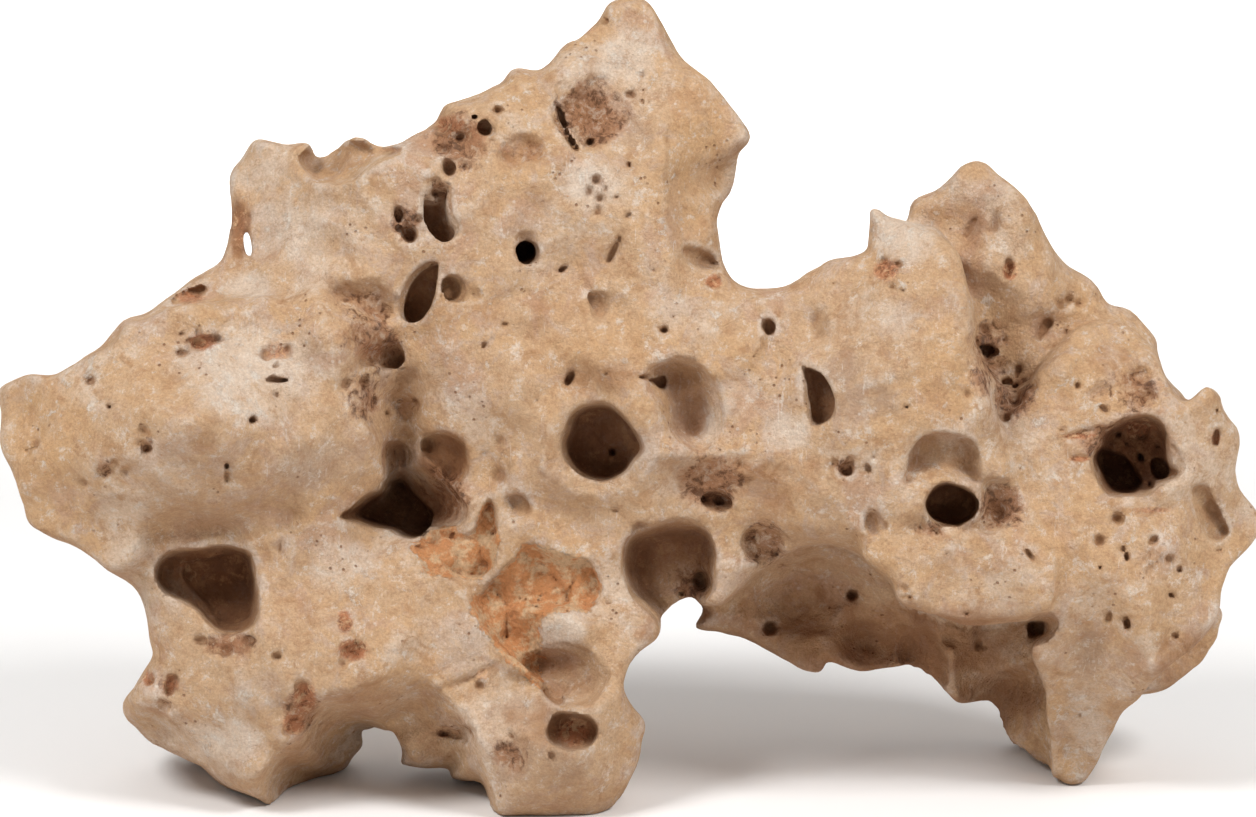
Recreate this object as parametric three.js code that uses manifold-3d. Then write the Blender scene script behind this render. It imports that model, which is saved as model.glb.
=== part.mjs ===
// A holey limestone rock, 377 mm long, that stands on three blunt toes of its own stone.
// It is laid out on a front plane: u runs right from its left tip, v runs up from its front toe,
// and depth is real depth, negative towards the front. The sight lines then spread it into space.
import * as THREE from "three";
import { mergeVertices } from "three/addons/utils/BufferGeometryUtils.js";
import Module from "manifold-3d";

const wasm = await Module();
wasm.setup();

// Driving sizes, in millimetres and degrees.
const FRONT_WIDTH = 376.8;
const FRONT_HEIGHT = 245.1;
const EYE_DISTANCE = 1256;
const EYE_ELEVATION = 10;
const FRONT_TOE_DEPTH = -35;
const RELIEF_STEP = 13;
const THINNEST_EDGE = 4;
const OUTLINE_MARGIN = 1;
const LARGE_HOLLOW = 8;
const LARGE_BALL = { around: 11, across: 6 };
const SMALL_BALL = { around: 7, across: 4 };
const SLIT_SIDES = 8;
const MERGE_DISTANCE = 1e-4;
const FAR = 400;
const ORIGIN_SHIFT = { x: -1.487, y: -10.462 };

// Each mass of stone has an outline, a front and a back depth, and the width of its rounded edge.
// Its swells are [u, v, half width, half height, how far out], all in millimetres.
const masses = {
  body: {
    outline: [
      [18, 125], [30, 140], [38, 150], [43.5, 151], [49.5, 155.5], [60, 162], [67, 167.5],
      [69.5, 177.5], [69, 191], [73, 197.5], [77, 203], [85.5, 201.5], [92, 202], [96, 198],
      [106.5, 203.5], [116.5, 201], [130, 207.5], [134.5, 214], [150, 219.5], [154.5, 224],
      [162, 224.5], [169.5, 232], [174, 234], [178.5, 238.5], [183.5, 244.5], [193, 245],
      [198, 238.5], [205.5, 227.5], [213.5, 221], [220, 213], [224.5, 205], [221, 199],
      [220, 190], [215.5, 181.5], [215, 176], [217.5, 164.5], [224.5, 158.5], [235.5, 158.5],
      [244.5, 164.5], [253.5, 167.5], [270, 158], [288, 146], [300, 131], [318, 119], [345, 110],
      [354, 95], [351, 74], [336, 65], [288, 65], [271.5, 68], [261, 77], [250.5, 81.5],
      [238.5, 80.5], [226.5, 72.5], [217.5, 64.5], [211, 63.5], [208.5, 65.5], [204, 65],
      [199, 61.5], [197.5, 57.5], [196.5, 54.5], [189.5, 48.5], [186.5, 38], [192.5, 29],
      [192, 23], [190.5, 15.5], [185.5, 5.5], [182.5, 2], [177.5, -2], [149, -2], [146, 5],
      [143.5, 9.5], [135.5, 11.5], [133.5, 14.5], [120.5, 15.5], [121, 20], [117, 26.5],
      [109.5, 21.5], [103.5, 14.5], [100, 9.5], [90, 8], [82.5, 2.5], [77, 5], [69.5, 8],
      [64.5, 11.5], [60, 16], [51.5, 19], [40.5, 25], [36.5, 32.5], [39.5, 38.5], [45, 47],
      [45, 54.5], [41.5, 66], [36, 71.5], [30, 77], [18, 89], [12, 104],
    ],
    front: -30,
    frontSwells: [
      [90, 50, 32, 28, 18], [81, 12, 20, 14, -14], [168, 20, 22, 20, 18], [121.5, 131, 9, 32, -12],
      [192, 125, 45, 25, 8], [66, 194, 34, 34, -30], [192, 245, 32, 42, -24],
      [223.5, 194, 14, 40, -26], [168, 185, 30, 25, 3], [345, 95, 40, 40, -20],
    ],
    back: 48,
    backSwells: [
      [120, 120, 45, 40, 14], [200, 200, 30, 40, -14], [60, 40, 35, 30, -8], [230, 110, 40, 30, 8],
      [168, 10, 25, 18, -12],
    ],
    edge: 26,
  },
  leftLobe: {
    outline: [
      [0, 128.5], [8, 133], [16.5, 133], [27, 140], [32.5, 143], [38, 150], [43.5, 151],
      [54, 153.5], [66, 155], [78.5, 156.5], [90, 155], [97.5, 146], [103.5, 133.5],
      [110.5, 126.5], [114.5, 113], [114, 101], [106.5, 92.5], [101.5, 89], [90, 86],
      [73.5, 82.5], [60, 82.5], [48, 79.5], [36, 73.5], [24, 80.5], [13.5, 85], [8.5, 89],
      [5, 101], [0.5, 110], [0, 119],
    ],
    front: -36,
    frontSwells: [[57, 116, 34, 24, 26], [0, 128, 22, 22, -14]],
    back: 38,
    backSwells: [[0, 125, 25, 30, -18]],
    edge: 20,
  },
  rightPlate: {
    outline: [
      [253.5, 167.5], [260.5, 170.5], [261, 181.5], [264, 181.5], [267, 179.5], [279, 177.5],
      [283.5, 174.5], [288.5, 166.5], [291, 155], [293.5, 140], [297, 129.5], [300, 117.5],
      [303, 104], [312, 89], [318, 77], [313.5, 61.5], [300, 60], [283.5, 60], [271, 64],
      [267, 71], [259.5, 77], [256.5, 86], [252, 101], [243, 119], [240, 143], [246, 161],
    ],
    front: -38,
    frontSwells: [[272, 119, 30, 35, 8], [264, 181, 18, 14, -12], [288, 65, 30, 10, 4]],
    back: 25,
    backSwells: [[264, 181, 18, 20, -14]],
    edge: 14,
  },
  rearPeak: {
    outline: [
      [268.5, 170], [272, 179], [274.5, 185], [282, 188.5], [288, 194.5], [294.5, 196],
      [300, 192.5], [307.5, 186], [313.5, 176], [319, 166.5], [326.5, 161], [332, 153.5],
      [339, 152], [346.5, 143.5], [348.5, 136.5], [356.5, 125.5], [357, 113], [345, 101],
      [324, 101], [300, 107], [279, 125], [270, 155],
    ],
    front: -4,
    frontSwells: [[303, 167, 14, 25, 8], [342, 140, 16, 14, -4], [296, 132, 12, 20, -8]],
    back: 58,
    backSwells: [[292, 196, 24, 24, -14], [345, 125, 20, 20, -8]],
    edge: 18,
  },
  rightBlock: {
    outline: [
      [300, 113], [303, 120.5], [310.5, 126.5], [321, 134], [327, 140], [336, 141.5], [345, 137],
      [351, 132.5], [356.5, 125.5], [361.5, 129.5], [366, 126.5], [367, 122], [371, 114.5],
      [370, 104], [372, 98], [377, 92], [377, 84.5], [368.5, 75.5], [366.5, 68], [364.5, 59],
      [357, 50.5], [348, 43.5], [342, 36], [336, 29.5], [331, 19.5], [328, 14], [324.5, 9.5],
      [321, 8.5], [317.5, 11.5], [315, 15], [314, 38], [309, 50], [315, 56.5], [313.5, 61.5],
      [300, 65], [288, 77], [288, 95],
    ],
    front: -28,
    frontSwells: [
      [333, 77, 30, 25, 8], [322, 14, 20, 24, -38], [375, 95, 14, 30, -14], [339, 140, 20, 12, -12],
    ],
    back: 48,
    backSwells: [[375, 90, 20, 30, -12]],
    edge: 18,
  },
  rearHeel: {
    outline: [
      [327, 68], [348, 68], [366.5, 63.5], [366.5, 55.5], [364, 48.5], [360, 43.5],
      [352.5, 38.5], [346.5, 36.5], [336, 38], [330, 50],
    ],
    front: 14,
    frontSwells: [],
    back: 50,
    backSwells: [],
    edge: 12,
  },
  rearShoulder: {
    outline: [
      [58, 110], [66, 148], [88, 176], [118, 188], [150, 196], [176, 186], [186, 158], [172, 122],
      [140, 92], [98, 84],
    ],
    front: 20,
    frontSwells: [],
    back: 72,
    backSwells: [[92, 128, 18, 22, 10], [150, 168, 22, 18, 8], [128, 138, 10, 30, -12]],
    edge: 26,
  },
  rearHaunch: {
    outline: [
      [176, 108], [196, 142], [232, 150], [282, 146], [322, 124], [346, 94], [330, 70], [296, 56],
      [244, 60], [200, 78],
    ],
    front: 20,
    frontSwells: [],
    back: 66,
    backSwells: [[225, 115, 20, 20, 12], [300, 98, 24, 20, 10], [262, 100, 8, 30, -10]],
    edge: 24,
  },
  rearWall: {
    outline: [
      [208.5, 57], [211, 62.5], [217.5, 77], [240, 95], [270, 89], [300, 83], [318, 77],
      [324, 53], [322.5, 17], [315, 15], [307.5, 20], [302.5, 23.5], [299.5, 32], [295.5, 35],
      [288, 34], [283.5, 38], [276, 44.5], [267, 45.5], [258, 44], [248.5, 47], [245.5, 44],
      [240, 45], [234, 48], [223.5, 54], [216, 55.5],
    ],
    front: 10,
    frontSwells: [
      [264, 53, 14, 12, -14], [297, 41, 11, 14, -14], [231, 62, 14, 12, -8], [280.5, 59, 6, 14, 5],
      [310.5, 29, 8, 16, 8],
    ],
    back: 52,
    backSwells: [[240, 60, 30, 20, -8]],
    edge: 14,
  },
};

// Round hollows in the front: [u, v, half width, half height, depth, turn in degrees].
const frontHollows = [
  [181, 112, 12.5, 12, 30, 0],
  [206.5, 123.5, 11, 13, 11, 0],
  [246, 126.5, 4.5, 9, 20, -8],
  [283.5, 108, 12.5, 8, 9, 0],
  [285.5, 93.5, 8.5, 6.5, 32, 0],
  [300, 94, 6, 7, 6, 0],
  [261.5, 88, 3.5, 4, 8, 0],
  [362.5, 91.5, 4.5, 8, 12, 10],
  [133.5, 107, 8, 8, 13, 0],
  [156, 92.5, 4.5, 4.5, 6, 0],
  [132.5, 180, 5.5, 7, 18, 0],
  [126, 158, 4.5, 9, 22, -20],
  [137.5, 158.5, 4.5, 4.5, 9, 0],
  [158, 170, 4, 4, 20, 0],
  [185, 172, 3, 6, 9, -15],
  [180, 153.5, 3.5, 4.5, 9, 0],
  [209.5, 168, 6.5, 4.5, 12, -15],
  [177, 210.5, 13, 12, 10, 0],
  [156, 199, 7, 5, 4, 0],
  [106.5, 156, 12, 6.5, 7, 0],
  [114, 139.5, 6, 4.5, 9, 0],
  [122, 125, 6, 9, 6, 0],
  [199, 76, 15.5, 16, 28, 0],
  [229.5, 81.5, 8, 7, 10, 0],
  [172, 46.5, 13.5, 10.5, 22, 25],
  [172, 25, 8, 5, 14, 0],
  [135, 25.5, 4, 3.5, 10, 0],
  [91, 33, 5.5, 7.5, 4, 0],
  [106, 50, 4.5, 3.5, 3, 20],
  [57, 156, 5.5, 3, 9, 25],
  [312, 56, 5, 5.5, 8, 0],
  [342, 126.5, 9, 6.5, 7, 0],
  [313.5, 146, 6, 6, 5, 0],
  [296, 136, 7, 9, 12, 0],
];

// Caves with a drawn mouth: the mouth's outline and how deep its floor lies.
const frontCaves = [
  {
    mouth: [
      [46.5, 72.5], [52.5, 80], [60, 81.5], [72, 81.5], [75.5, 77], [78.5, 60.5], [76.5, 57],
      [70.5, 55], [62.5, 59.5], [60, 65], [55.5, 67.5], [49.5, 68],
    ],
    floor: -6,
  },
  {
    mouth: [
      [327.5, 106.5], [334.5, 114.5], [345, 120], [349, 119], [353, 105.5], [353.5, 101.5],
      [342, 96.5], [336, 96], [331.5, 98],
    ],
    floor: 12,
  },
  {
    mouth: [
      [102, 89.5], [111.5, 97.5], [114, 101], [120, 101.5], [132, 95], [127.5, 87.5],
      [124.5, 82], [117, 86.5], [111, 87.5],
    ],
    floor: 8,
  },
];

// Round hollows in the top, the ends and the underside: [u, depth, v, three half sizes].
const otherHollows = [
  [104, 14, 204, 9, 8, 10],
  [150, 34, 214, 7, 10, 9],
  [196, 16, 238, 5, 6, 8],
  [244, 30, 164, 12, 9, 9],
  [318, 36, 168, 7, 9, 9],
  [372, 22, 92, 10, 9, 11],
  [368, 32, 56, 9, 8, 8],
  [4, 8, 116, 9, 7, 7],
  [36, 14, 42, 9, 9, 8],
  [60, 26, 160, 8, 9, 7],
  [120, 10, 24, 8, 14, 7],
];

// A slit that goes right through the thin left shoulder.
const SHOULDER_SLIT = { u: 73.5, v: 172.5, halfWidth: 2.2, halfHeight: 4, turn: 12 };

// Round hollows in the back, laid out as the front ones are.
const backHollows = [
  [110, 120, 13, 12, 26, 0],
  [160, 150, 9, 11, 18, 20],
  [215, 105, 14, 11, 22, 0],
  [70, 95, 9, 8, 14, 0],
  [190, 200, 8, 8, 16, 0],
  [265, 120, 9, 13, 18, 15],
  [310, 90, 12, 11, 24, 0],
  [80, 45, 10, 8, 14, 0],
  [140, 75, 7, 7, 16, 0],
  [300, 160, 8, 9, 14, 0],
  [165, 30, 9, 8, 12, 0],
  [115, 175, 8, 7, 13, 0],
];

function swellAt(swells, u, v) {
  return swells.reduce((sum, [su, sv, halfWidth, halfHeight, out]) => {
    const away = ((u - su) / halfWidth) ** 2 + ((v - sv) / halfHeight) ** 2;
    return sum + out * Math.exp(-away);
  }, 0);
}

// How far a point lies inside an outline, negative when it is outside.
function insideBy(outline, u, v) {
  let nearest = Infinity;
  let inside = false;
  outline.forEach(([u1, v1], i) => {
    const [u2, v2] = outline[(i + 1) % outline.length];
    const along = ((u - u1) * (u2 - u1) + (v - v1) * (v2 - v1)) / ((u2 - u1) ** 2 + (v2 - v1) ** 2);
    const t = THREE.MathUtils.clamp(along, 0, 1);
    nearest = Math.min(nearest, Math.hypot(u - u1 - t * (u2 - u1), v - v1 - t * (v2 - v1)));
    if (v1 > v !== v2 > v && u < u1 + ((v - v1) / (v2 - v1)) * (u2 - u1)) inside = !inside;
  });
  return inside ? nearest : -nearest;
}

// The front and back depth of a mass, drawn together in a round towards its outline.
function depthsAt(mass, u, v) {
  const front = mass.front - swellAt(mass.frontSwells, u, v);
  const back = mass.back + swellAt(mass.backSwells, u, v);
  const in01 = THREE.MathUtils.clamp(insideBy(mass.outline, u, v) / mass.edge, 0, 1);
  const roundness = Math.sin((in01 * Math.PI) / 2);
  const middle = (front + back) / 2;
  const half = THINNEST_EDGE + ((back - front) / 2 - THINNEST_EDGE) * roundness;
  return [middle - half, middle + half];
}

function nearestFront(u, v) {
  const holding = Object.values(masses).filter((mass) => insideBy(mass.outline, u, v) > 0);
  return Math.min(...holding.map((mass) => depthsAt(mass, u, v)[0]));
}

function farthestBack(u, v) {
  const holding = Object.values(masses).filter((mass) => insideBy(mass.outline, u, v) > 0);
  return Math.max(...holding.map((mass) => depthsAt(mass, u, v)[1]));
}

function solidOf(geometry) {
  const bare = geometry.clone();
  bare.deleteAttribute("normal");
  bare.deleteAttribute("uv");
  const merged = mergeVertices(bare, MERGE_DISTANCE);
  return new wasm.Manifold(
    new wasm.Mesh({
      numProp: 3,
      vertProperties: merged.attributes.position.array,
      triVerts: new Uint32Array(merged.index.array),
    }),
  );
}

function geometryOf(solid) {
  const { numProp, vertProperties, triVerts } = solid.getMesh();
  const positions = new Float32Array((vertProperties.length / numProp) * 3);
  for (let i = 0; i < positions.length / 3; i++)
    positions.set(vertProperties.subarray(i * numProp, i * numProp + 3), i * 3);
  const geometry = new THREE.BufferGeometry();
  geometry.setAttribute("position", new THREE.BufferAttribute(positions, 3));
  geometry.setIndex(new THREE.BufferAttribute(triVerts, 1));
  return geometry;
}

// A straight prism over an outline, between two depths.
function prism(outline, front, back) {
  const shape = new THREE.Shape(outline.map(([u, v]) => new THREE.Vector2(u, v)));
  const geometry = new THREE.ExtrudeGeometry(shape, { depth: back - front, bevelEnabled: false });
  geometry.rotateX(Math.PI / 2);
  geometry.translate(0, back, 0);
  return solidOf(geometry);
}

// A mass of stone: a box whose two faces follow its depths, cut to its outline.
function massSolid(mass) {
  const us = mass.outline.map(([u]) => u);
  const vs = mass.outline.map(([, v]) => v);
  const [left, right] = [Math.min(...us) - OUTLINE_MARGIN, Math.max(...us) + OUTLINE_MARGIN];
  const [low, high] = [Math.min(...vs) - OUTLINE_MARGIN, Math.max(...vs) + OUTLINE_MARGIN];
  const columns = Math.ceil((right - left) / RELIEF_STEP);
  const rows = Math.ceil((high - low) / RELIEF_STEP);
  const box = new THREE.BoxGeometry(right - left, 1, high - low, columns, 1, rows);
  box.translate((left + right) / 2, 0, (low + high) / 2);
  const places = box.attributes.position;
  for (let i = 0; i < places.count; i++) {
    const [front, back] = depthsAt(mass, places.getX(i), places.getZ(i));
    places.setY(i, places.getY(i) < 0 ? front : back);
  }
  return solidOf(box).intersect(prism(mass.outline, -FAR, FAR));
}

// A ball with more facets when it is large, its poles in front and behind.
function unitBall(size) {
  const { around, across } = size > LARGE_HOLLOW ? LARGE_BALL : SMALL_BALL;
  const ball = new THREE.SphereGeometry(1, around, across);
  ball.rotateX(Math.PI / 2);
  return ball;
}

function otherHollow([u, depth, v, halfWidth, halfDepth, halfHeight]) {
  const ball = unitBall(halfWidth);
  ball.scale(halfWidth, halfDepth, halfHeight);
  ball.translate(u, depth, v);
  return solidOf(ball);
}

function hollow([u, v, halfWidth, halfHeight, depth, turn], at) {
  const ball = unitBall(halfWidth);
  ball.scale(halfWidth, depth, halfHeight);
  ball.rotateY(THREE.MathUtils.degToRad(turn));
  ball.translate(u, at(u, v), v);
  return solidOf(ball);
}

function shoulderSlit({ u, v, halfWidth, halfHeight, turn }) {
  const rod = new THREE.CylinderGeometry(1, 1, FAR, SLIT_SIDES);
  rod.scale(halfWidth, 1, halfHeight);
  rod.rotateY(THREE.MathUtils.degToRad(turn));
  rod.translate(u, 0, v);
  return solidOf(rod);
}

// Carries a point of the front plane and its depth along the sight line into space.
function spread(geometry) {
  const tilt = THREE.MathUtils.degToRad(EYE_ELEVATION);
  const eye = new THREE.Vector3(0, -EYE_DISTANCE * Math.cos(tilt), EYE_DISTANCE * Math.sin(tilt));
  const toeDrop = (-FRONT_HEIGHT / 2) * Math.cos(tilt) - eye.z;
  const toeReach = (FRONT_TOE_DEPTH - eye.y) / ((-FRONT_HEIGHT / 2) * Math.sin(tilt) - eye.y);
  const lift = -(eye.z + toeReach * toeDrop);
  const places = geometry.attributes.position;
  for (let i = 0; i < places.count; i++) {
    const across = places.getX(i) - FRONT_WIDTH / 2;
    const up = places.getZ(i) - FRONT_HEIGHT / 2;
    const depth = places.getY(i);
    const reach = (depth - eye.y) / (up * Math.sin(tilt) - eye.y);
    const height = eye.z + reach * (up * Math.cos(tilt) - eye.z);
    places.setXYZ(i, reach * across, depth, height + lift);
  }
  return geometry;
}

function joined(solids) {
  return solids.reduce((all, solid) => all.add(solid));
}

function rockGeometry() {
  const stone = joined(Object.values(masses).map(massSolid));
  const cuts = joined([
    ...frontHollows.map((row) => hollow(row, nearestFront)),
    ...backHollows.map((row) => hollow(row, farthestBack)),
    ...otherHollows.map(otherHollow),
    ...frontCaves.map(({ mouth, floor }) => prism(mouth, -FAR, floor)),
    shoulderSlit(SHOULDER_SLIT),
  ]);
  const standing = solidOf(spread(geometryOf(stone.subtract(cuts))));
  const aboveGround = new THREE.BoxGeometry(2 * FAR, 2 * FAR, FAR);
  aboveGround.translate(0, 0, FAR / 2);
  const geometry = geometryOf(standing.intersect(solidOf(aboveGround)));
  geometry.translate(ORIGIN_SHIFT.x, ORIGIN_SHIFT.y, 0);
  geometry.computeVertexNormals();
  return geometry;
}

const limestone = new THREE.MeshStandardMaterial({ color: 0xd2b995, roughness: 0.92, metalness: 0 });

const rock = new THREE.Mesh(rockGeometry(), limestone);
rock.name = "rock";

const holeyRock = new THREE.Group();
holeyRock.add(rock);

export default holeyRock;
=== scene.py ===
import itertools
import math

import bpy
import numpy as np
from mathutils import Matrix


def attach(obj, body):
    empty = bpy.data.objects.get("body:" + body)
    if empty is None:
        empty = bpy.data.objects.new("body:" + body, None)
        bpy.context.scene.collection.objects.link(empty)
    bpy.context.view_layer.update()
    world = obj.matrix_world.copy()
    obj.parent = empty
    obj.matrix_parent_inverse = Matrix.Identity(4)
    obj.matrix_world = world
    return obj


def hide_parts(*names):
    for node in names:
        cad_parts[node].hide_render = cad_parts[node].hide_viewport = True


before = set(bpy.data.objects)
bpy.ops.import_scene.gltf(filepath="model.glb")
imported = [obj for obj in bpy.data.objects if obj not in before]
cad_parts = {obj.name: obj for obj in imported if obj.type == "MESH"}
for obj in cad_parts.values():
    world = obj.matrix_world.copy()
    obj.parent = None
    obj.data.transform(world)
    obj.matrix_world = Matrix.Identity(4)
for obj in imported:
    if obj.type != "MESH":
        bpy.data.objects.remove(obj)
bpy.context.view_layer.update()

bpy.ops.object.select_all(action="DESELECT")

# The rock is laid out in millimetres as it is seen from the front: u runs right from its left tip,
# v runs up from its front toe, and depth is real depth, negative towards the front.
MM = 0.001
FRONT_WIDTH = 376.8
FRONT_HEIGHT = 245.1
EYE_DISTANCE = 1256.0
EYE_ELEVATION = math.radians(10)
FRONT_TOE_DEPTH = -35.0
ORIGIN_SHIFT = (-1.487, -10.462)

# The block of space that holds the rock, and the fineness of its surface.
STEP = 1.0
LOWEST = np.array([-6.0, -78.0, -6.0])
HIGHEST = np.array([384.0, 94.0, 252.0])
MOST_TRIANGLES = 196000

# Each mass of stone: its outline, the depths of its front and its back, the swells on them as
# (u, v, half width, half height, how far out), and the width of its worn edge. Some also say how
# softly they join the rest, or how wide their back edge is.
MASSES = {
    "body": {
        "outline": [
            (18, 125), (30, 138.5), (38, 148), (43.5, 149.5), (49.5, 155.5), (60, 162.5), (67, 167),
            (69.5, 177.5), (69, 191), (73, 197.5), (77, 203), (85.5, 201.5), (92, 202), (96, 198),
            (106.5, 203.5), (116.5, 201), (130, 207.5), (134.5, 214), (150, 219.5), (154.5, 224),
            (162, 224.5), (169.5, 232), (174, 234), (178.5, 238.5), (183.5, 244.5), (193, 245),
            (198, 238.5), (205.5, 227), (213.5, 220.5), (219.5, 212.5), (224.5, 204.5), (221, 199),
            (220, 190), (215.5, 181.5), (215, 176), (217.5, 164.5), (224.5, 158.5), (235.5, 158.5),
            (244.5, 164.5), (253.5, 167.5), (270, 158), (288, 146), (300, 131), (318, 119),
            (345, 110), (354, 95), (351, 74), (336, 65), (288, 65), (271.5, 68), (261, 77),
            (250.5, 81.5), (238.5, 80.5), (226.5, 72.5), (217.5, 64.5), (211, 63.5), (208.5, 65.5),
            (204, 65), (199, 61), (198, 57), (196.5, 53.5), (190.5, 48), (187.5, 38),
            (193, 28.5), (192, 23), (190.5, 15.5), (185.5, 5.5), (182.5, 2), (177.5, -2),
            (149, -2), (146, 5), (143.5, 9.5), (135.5, 11.5), (133.5, 14.5), (120.5, 15.5),
            (121, 20), (117, 26.5), (109.5, 21.5), (103.5, 14.5), (100, 9.5), (90, 8), (82.5, 2.5),
            (77, 5), (69.5, 8), (64.5, 11.5), (60, 16), (51.5, 19.5), (41.5, 25.5), (37, 32.5),
            (40.5, 38.5), (46, 47), (45.5, 54.5), (42.5, 66), (37, 71.5), (30, 78), (18, 89),
            (12, 104),
        ],
        "front": -30,
        "front_swells": [
            (90, 50, 32, 28, 18), (81, 12, 20, 14, 5), (60, 85, 36, 11, 9), (168, 20, 22, 20, 18),
            (121.5, 131, 9, 32, -5), (192, 125, 45, 25, 8), (66, 194, 34, 34, -30),
            (192, 245, 32, 42, -24), (223.5, 194, 14, 40, -12), (168, 185, 30, 25, 3),
            (345, 95, 40, 40, -20), (258, 118, 24, 42, 13), (97, 142, 15, 18, 15),
        ],
        "back": 48,
        "back_swells": [
            (120, 120, 45, 40, 14), (200, 200, 30, 40, -14), (60, 40, 35, 30, -8),
            (230, 110, 40, 30, 8), (168, 10, 25, 18, -12),
        ],
        "edge": 18,
    },
    "left lobe": {
        "outline": [
            (0, 128.5), (8, 132.5), (16.5, 132.5), (27, 138.5), (32.5, 141.5), (38, 148), (43.5, 149.5),
            (54, 153.5), (66, 155), (78.5, 156.5), (90, 155), (97.5, 146), (103.5, 133.5),
            (110.5, 126.5), (114.5, 113), (114, 101), (106.5, 92.5), (101.5, 89), (90, 86),
            (73.5, 82.5), (60, 82.5), (48, 79.5), (36, 73.5), (24, 80.5), (13.5, 85), (8.5, 89),
            (5, 101), (0.5, 110), (0, 119),
        ],
        "front": -36,
        "front_swells": [(57, 116, 34, 24, 26), (0, 128, 22, 22, -14)],
        "back": 38,
        "back_swells": [(0, 125, 25, 30, -18)],
        "edge": 16,
        "join": 4,
    },
    "right plate": {
        "outline": [
            (253.5, 167.5), (260.5, 170.5), (261, 181.5), (264, 181.5), (267, 179.5),
            (279, 177.5), (283.5, 174.5), (288.5, 166.5), (291, 155), (293.5, 140), (297, 129.5),
            (300, 117.5), (303, 104), (312, 89), (318, 77), (313.5, 61.5), (300, 60), (283.5, 60),
            (271, 64), (267, 71), (259.5, 77), (256.5, 86), (252, 101), (243, 119), (240, 143),
            (246, 161),
        ],
        "front": -38,
        "front_swells": [
            (272, 119, 30, 35, 8), (264, 181, 18, 14, -12), (288, 65, 30, 10, 4), (242, 128, 13, 44, -11),
        ],
        "back": 25,
        "back_swells": [(264, 181, 18, 20, -14)],
        "edge": 9,
    },
    "rear peak": {
        "outline": [
            (268.5, 170), (272, 179), (274.5, 185), (282, 188.5), (288, 194.5), (294.5, 196),
            (300, 192.5), (307.5, 186), (313.5, 176), (319, 166.5), (326.5, 161), (332, 153.5),
            (339, 152), (347, 144), (347.5, 136), (355.5, 124.5), (357, 113), (345, 101),
            (324, 101), (300, 107), (279, 125), (270, 155),
        ],
        "front": -4,
        "front_swells": [(303, 167, 14, 25, 8), (342, 140, 16, 14, -4), (306, 134, 16, 18, 12)],
        "back": 58,
        "back_swells": [(292, 196, 24, 24, -14), (345, 125, 20, 20, -8)],
        "edge": 14,
    },
    "right block": {
        "outline": [
            (300, 113), (303, 121), (308, 130), (314, 138), (321, 145), (330, 149), (338, 148),
            (345.5, 141), (350, 131.5), (355.5, 125), (361.5, 129.5), (366, 126.5), (367, 122),
            (371, 114.5), (370, 104), (372, 98), (377, 92), (377, 84.5), (368.5, 75.5),
            (366.5, 68), (364.5, 59), (357, 50.5), (348, 43.5), (342, 36), (336, 29.5),
            (331, 19.5), (328, 14), (324.5, 9.5), (321, 8.5), (317.5, 11.5), (315, 15), (314, 38),
            (309, 50), (315, 56.5), (313.5, 61.5), (300, 65), (288, 77), (288, 95),
        ],
        "front": -30,
        "front_swells": [
            (333, 77, 30, 25, 8), (322, 14, 20, 24, -28), (375, 95, 14, 30, -14),
            (339, 146, 26, 14, -14),
        ],
        "back": 48,
        "back_swells": [(375, 90, 20, 30, -12)],
        "edge": 12,
    },
    "bridge": {
        "outline": [
            (282, 118), (292, 114), (303, 119), (310, 130), (320, 138), (332, 134), (338, 104), (336, 80),
            (326, 62), (305, 60), (285, 61), (278, 89),
        ],
        "front": -32,
        "front_swells": [(300, 92, 16, 30, 3), (325, 138, 16, 14, -8)],
        "back": 20,
        "back_swells": [],
        "edge": 12,
        "join": 6,
    },
    "rear heel": {
        "outline": [
            (327, 68), (348, 68), (365.5, 63.5), (365.5, 56), (362.5, 49.5), (358.5, 45),
            (352, 40.5), (346.5, 38), (336, 38), (330, 50),
        ],
        "front": 14,
        "front_swells": [],
        "back": 50,
        "back_swells": [],
        "edge": 10,
    },
    "rear shoulder": {
        "outline": [
            (58, 110), (66, 148), (88, 176), (118, 188), (150, 196), (176, 186), (186, 158),
            (172, 122), (140, 92), (98, 84),
        ],
        "front": 20,
        "front_swells": [],
        "back": 72,
        "back_swells": [(92, 128, 18, 22, 10), (150, 168, 22, 18, 8), (128, 138, 10, 30, -14)],
        "edge": 26,
        "join": 16,
    },
    "rear haunch": {
        "outline": [
            (176, 108), (196, 142), (232, 150), (282, 146), (322, 124), (346, 94), (330, 70),
            (296, 56), (244, 60), (200, 78),
        ],
        "front": 20,
        "front_swells": [],
        "back": 66,
        "back_swells": [(225, 115, 20, 20, 12), (300, 98, 24, 20, 10), (262, 100, 8, 30, -14)],
        "edge": 24,
        "join": 16,
    },
    "rear wall": {
        "outline": [
            (208.5, 57), (211, 62.5), (217.5, 77), (240, 95), (270, 89), (300, 83), (318, 77),
            (324, 53), (322.5, 17), (315, 15), (307.5, 20), (302.5, 23.5), (299.5, 32),
            (295.5, 35), (288, 34), (283.5, 38), (276, 44.5), (267, 45.5), (258, 44),
            (248.5, 47), (245.5, 44), (240, 45), (234, 48), (223.5, 54), (216, 55.5),
        ],
        "front": 10,
        "front_swells": [
            (264, 53, 14, 12, -8), (297, 41, 11, 14, -7), (231, 62, 14, 12, -6),
            (280.5, 59, 6, 14, 5), (310.5, 29, 8, 16, 8),
        ],
        "back": 50,
        "back_swells": [(240, 60, 30, 20, -8)],
        "edge": 10,
        "back_edge": 9,
    },
}

# Places where the front edge is crisp: u, v, half width, half height, strength.
CRISP_PLACES = [
    (82, 14, 26, 20, 0.9), (192, 20, 12, 30, 0.5), (290, 40, 40, 22, 0.8), (322, 20, 12, 24, 0.6),
]

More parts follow.
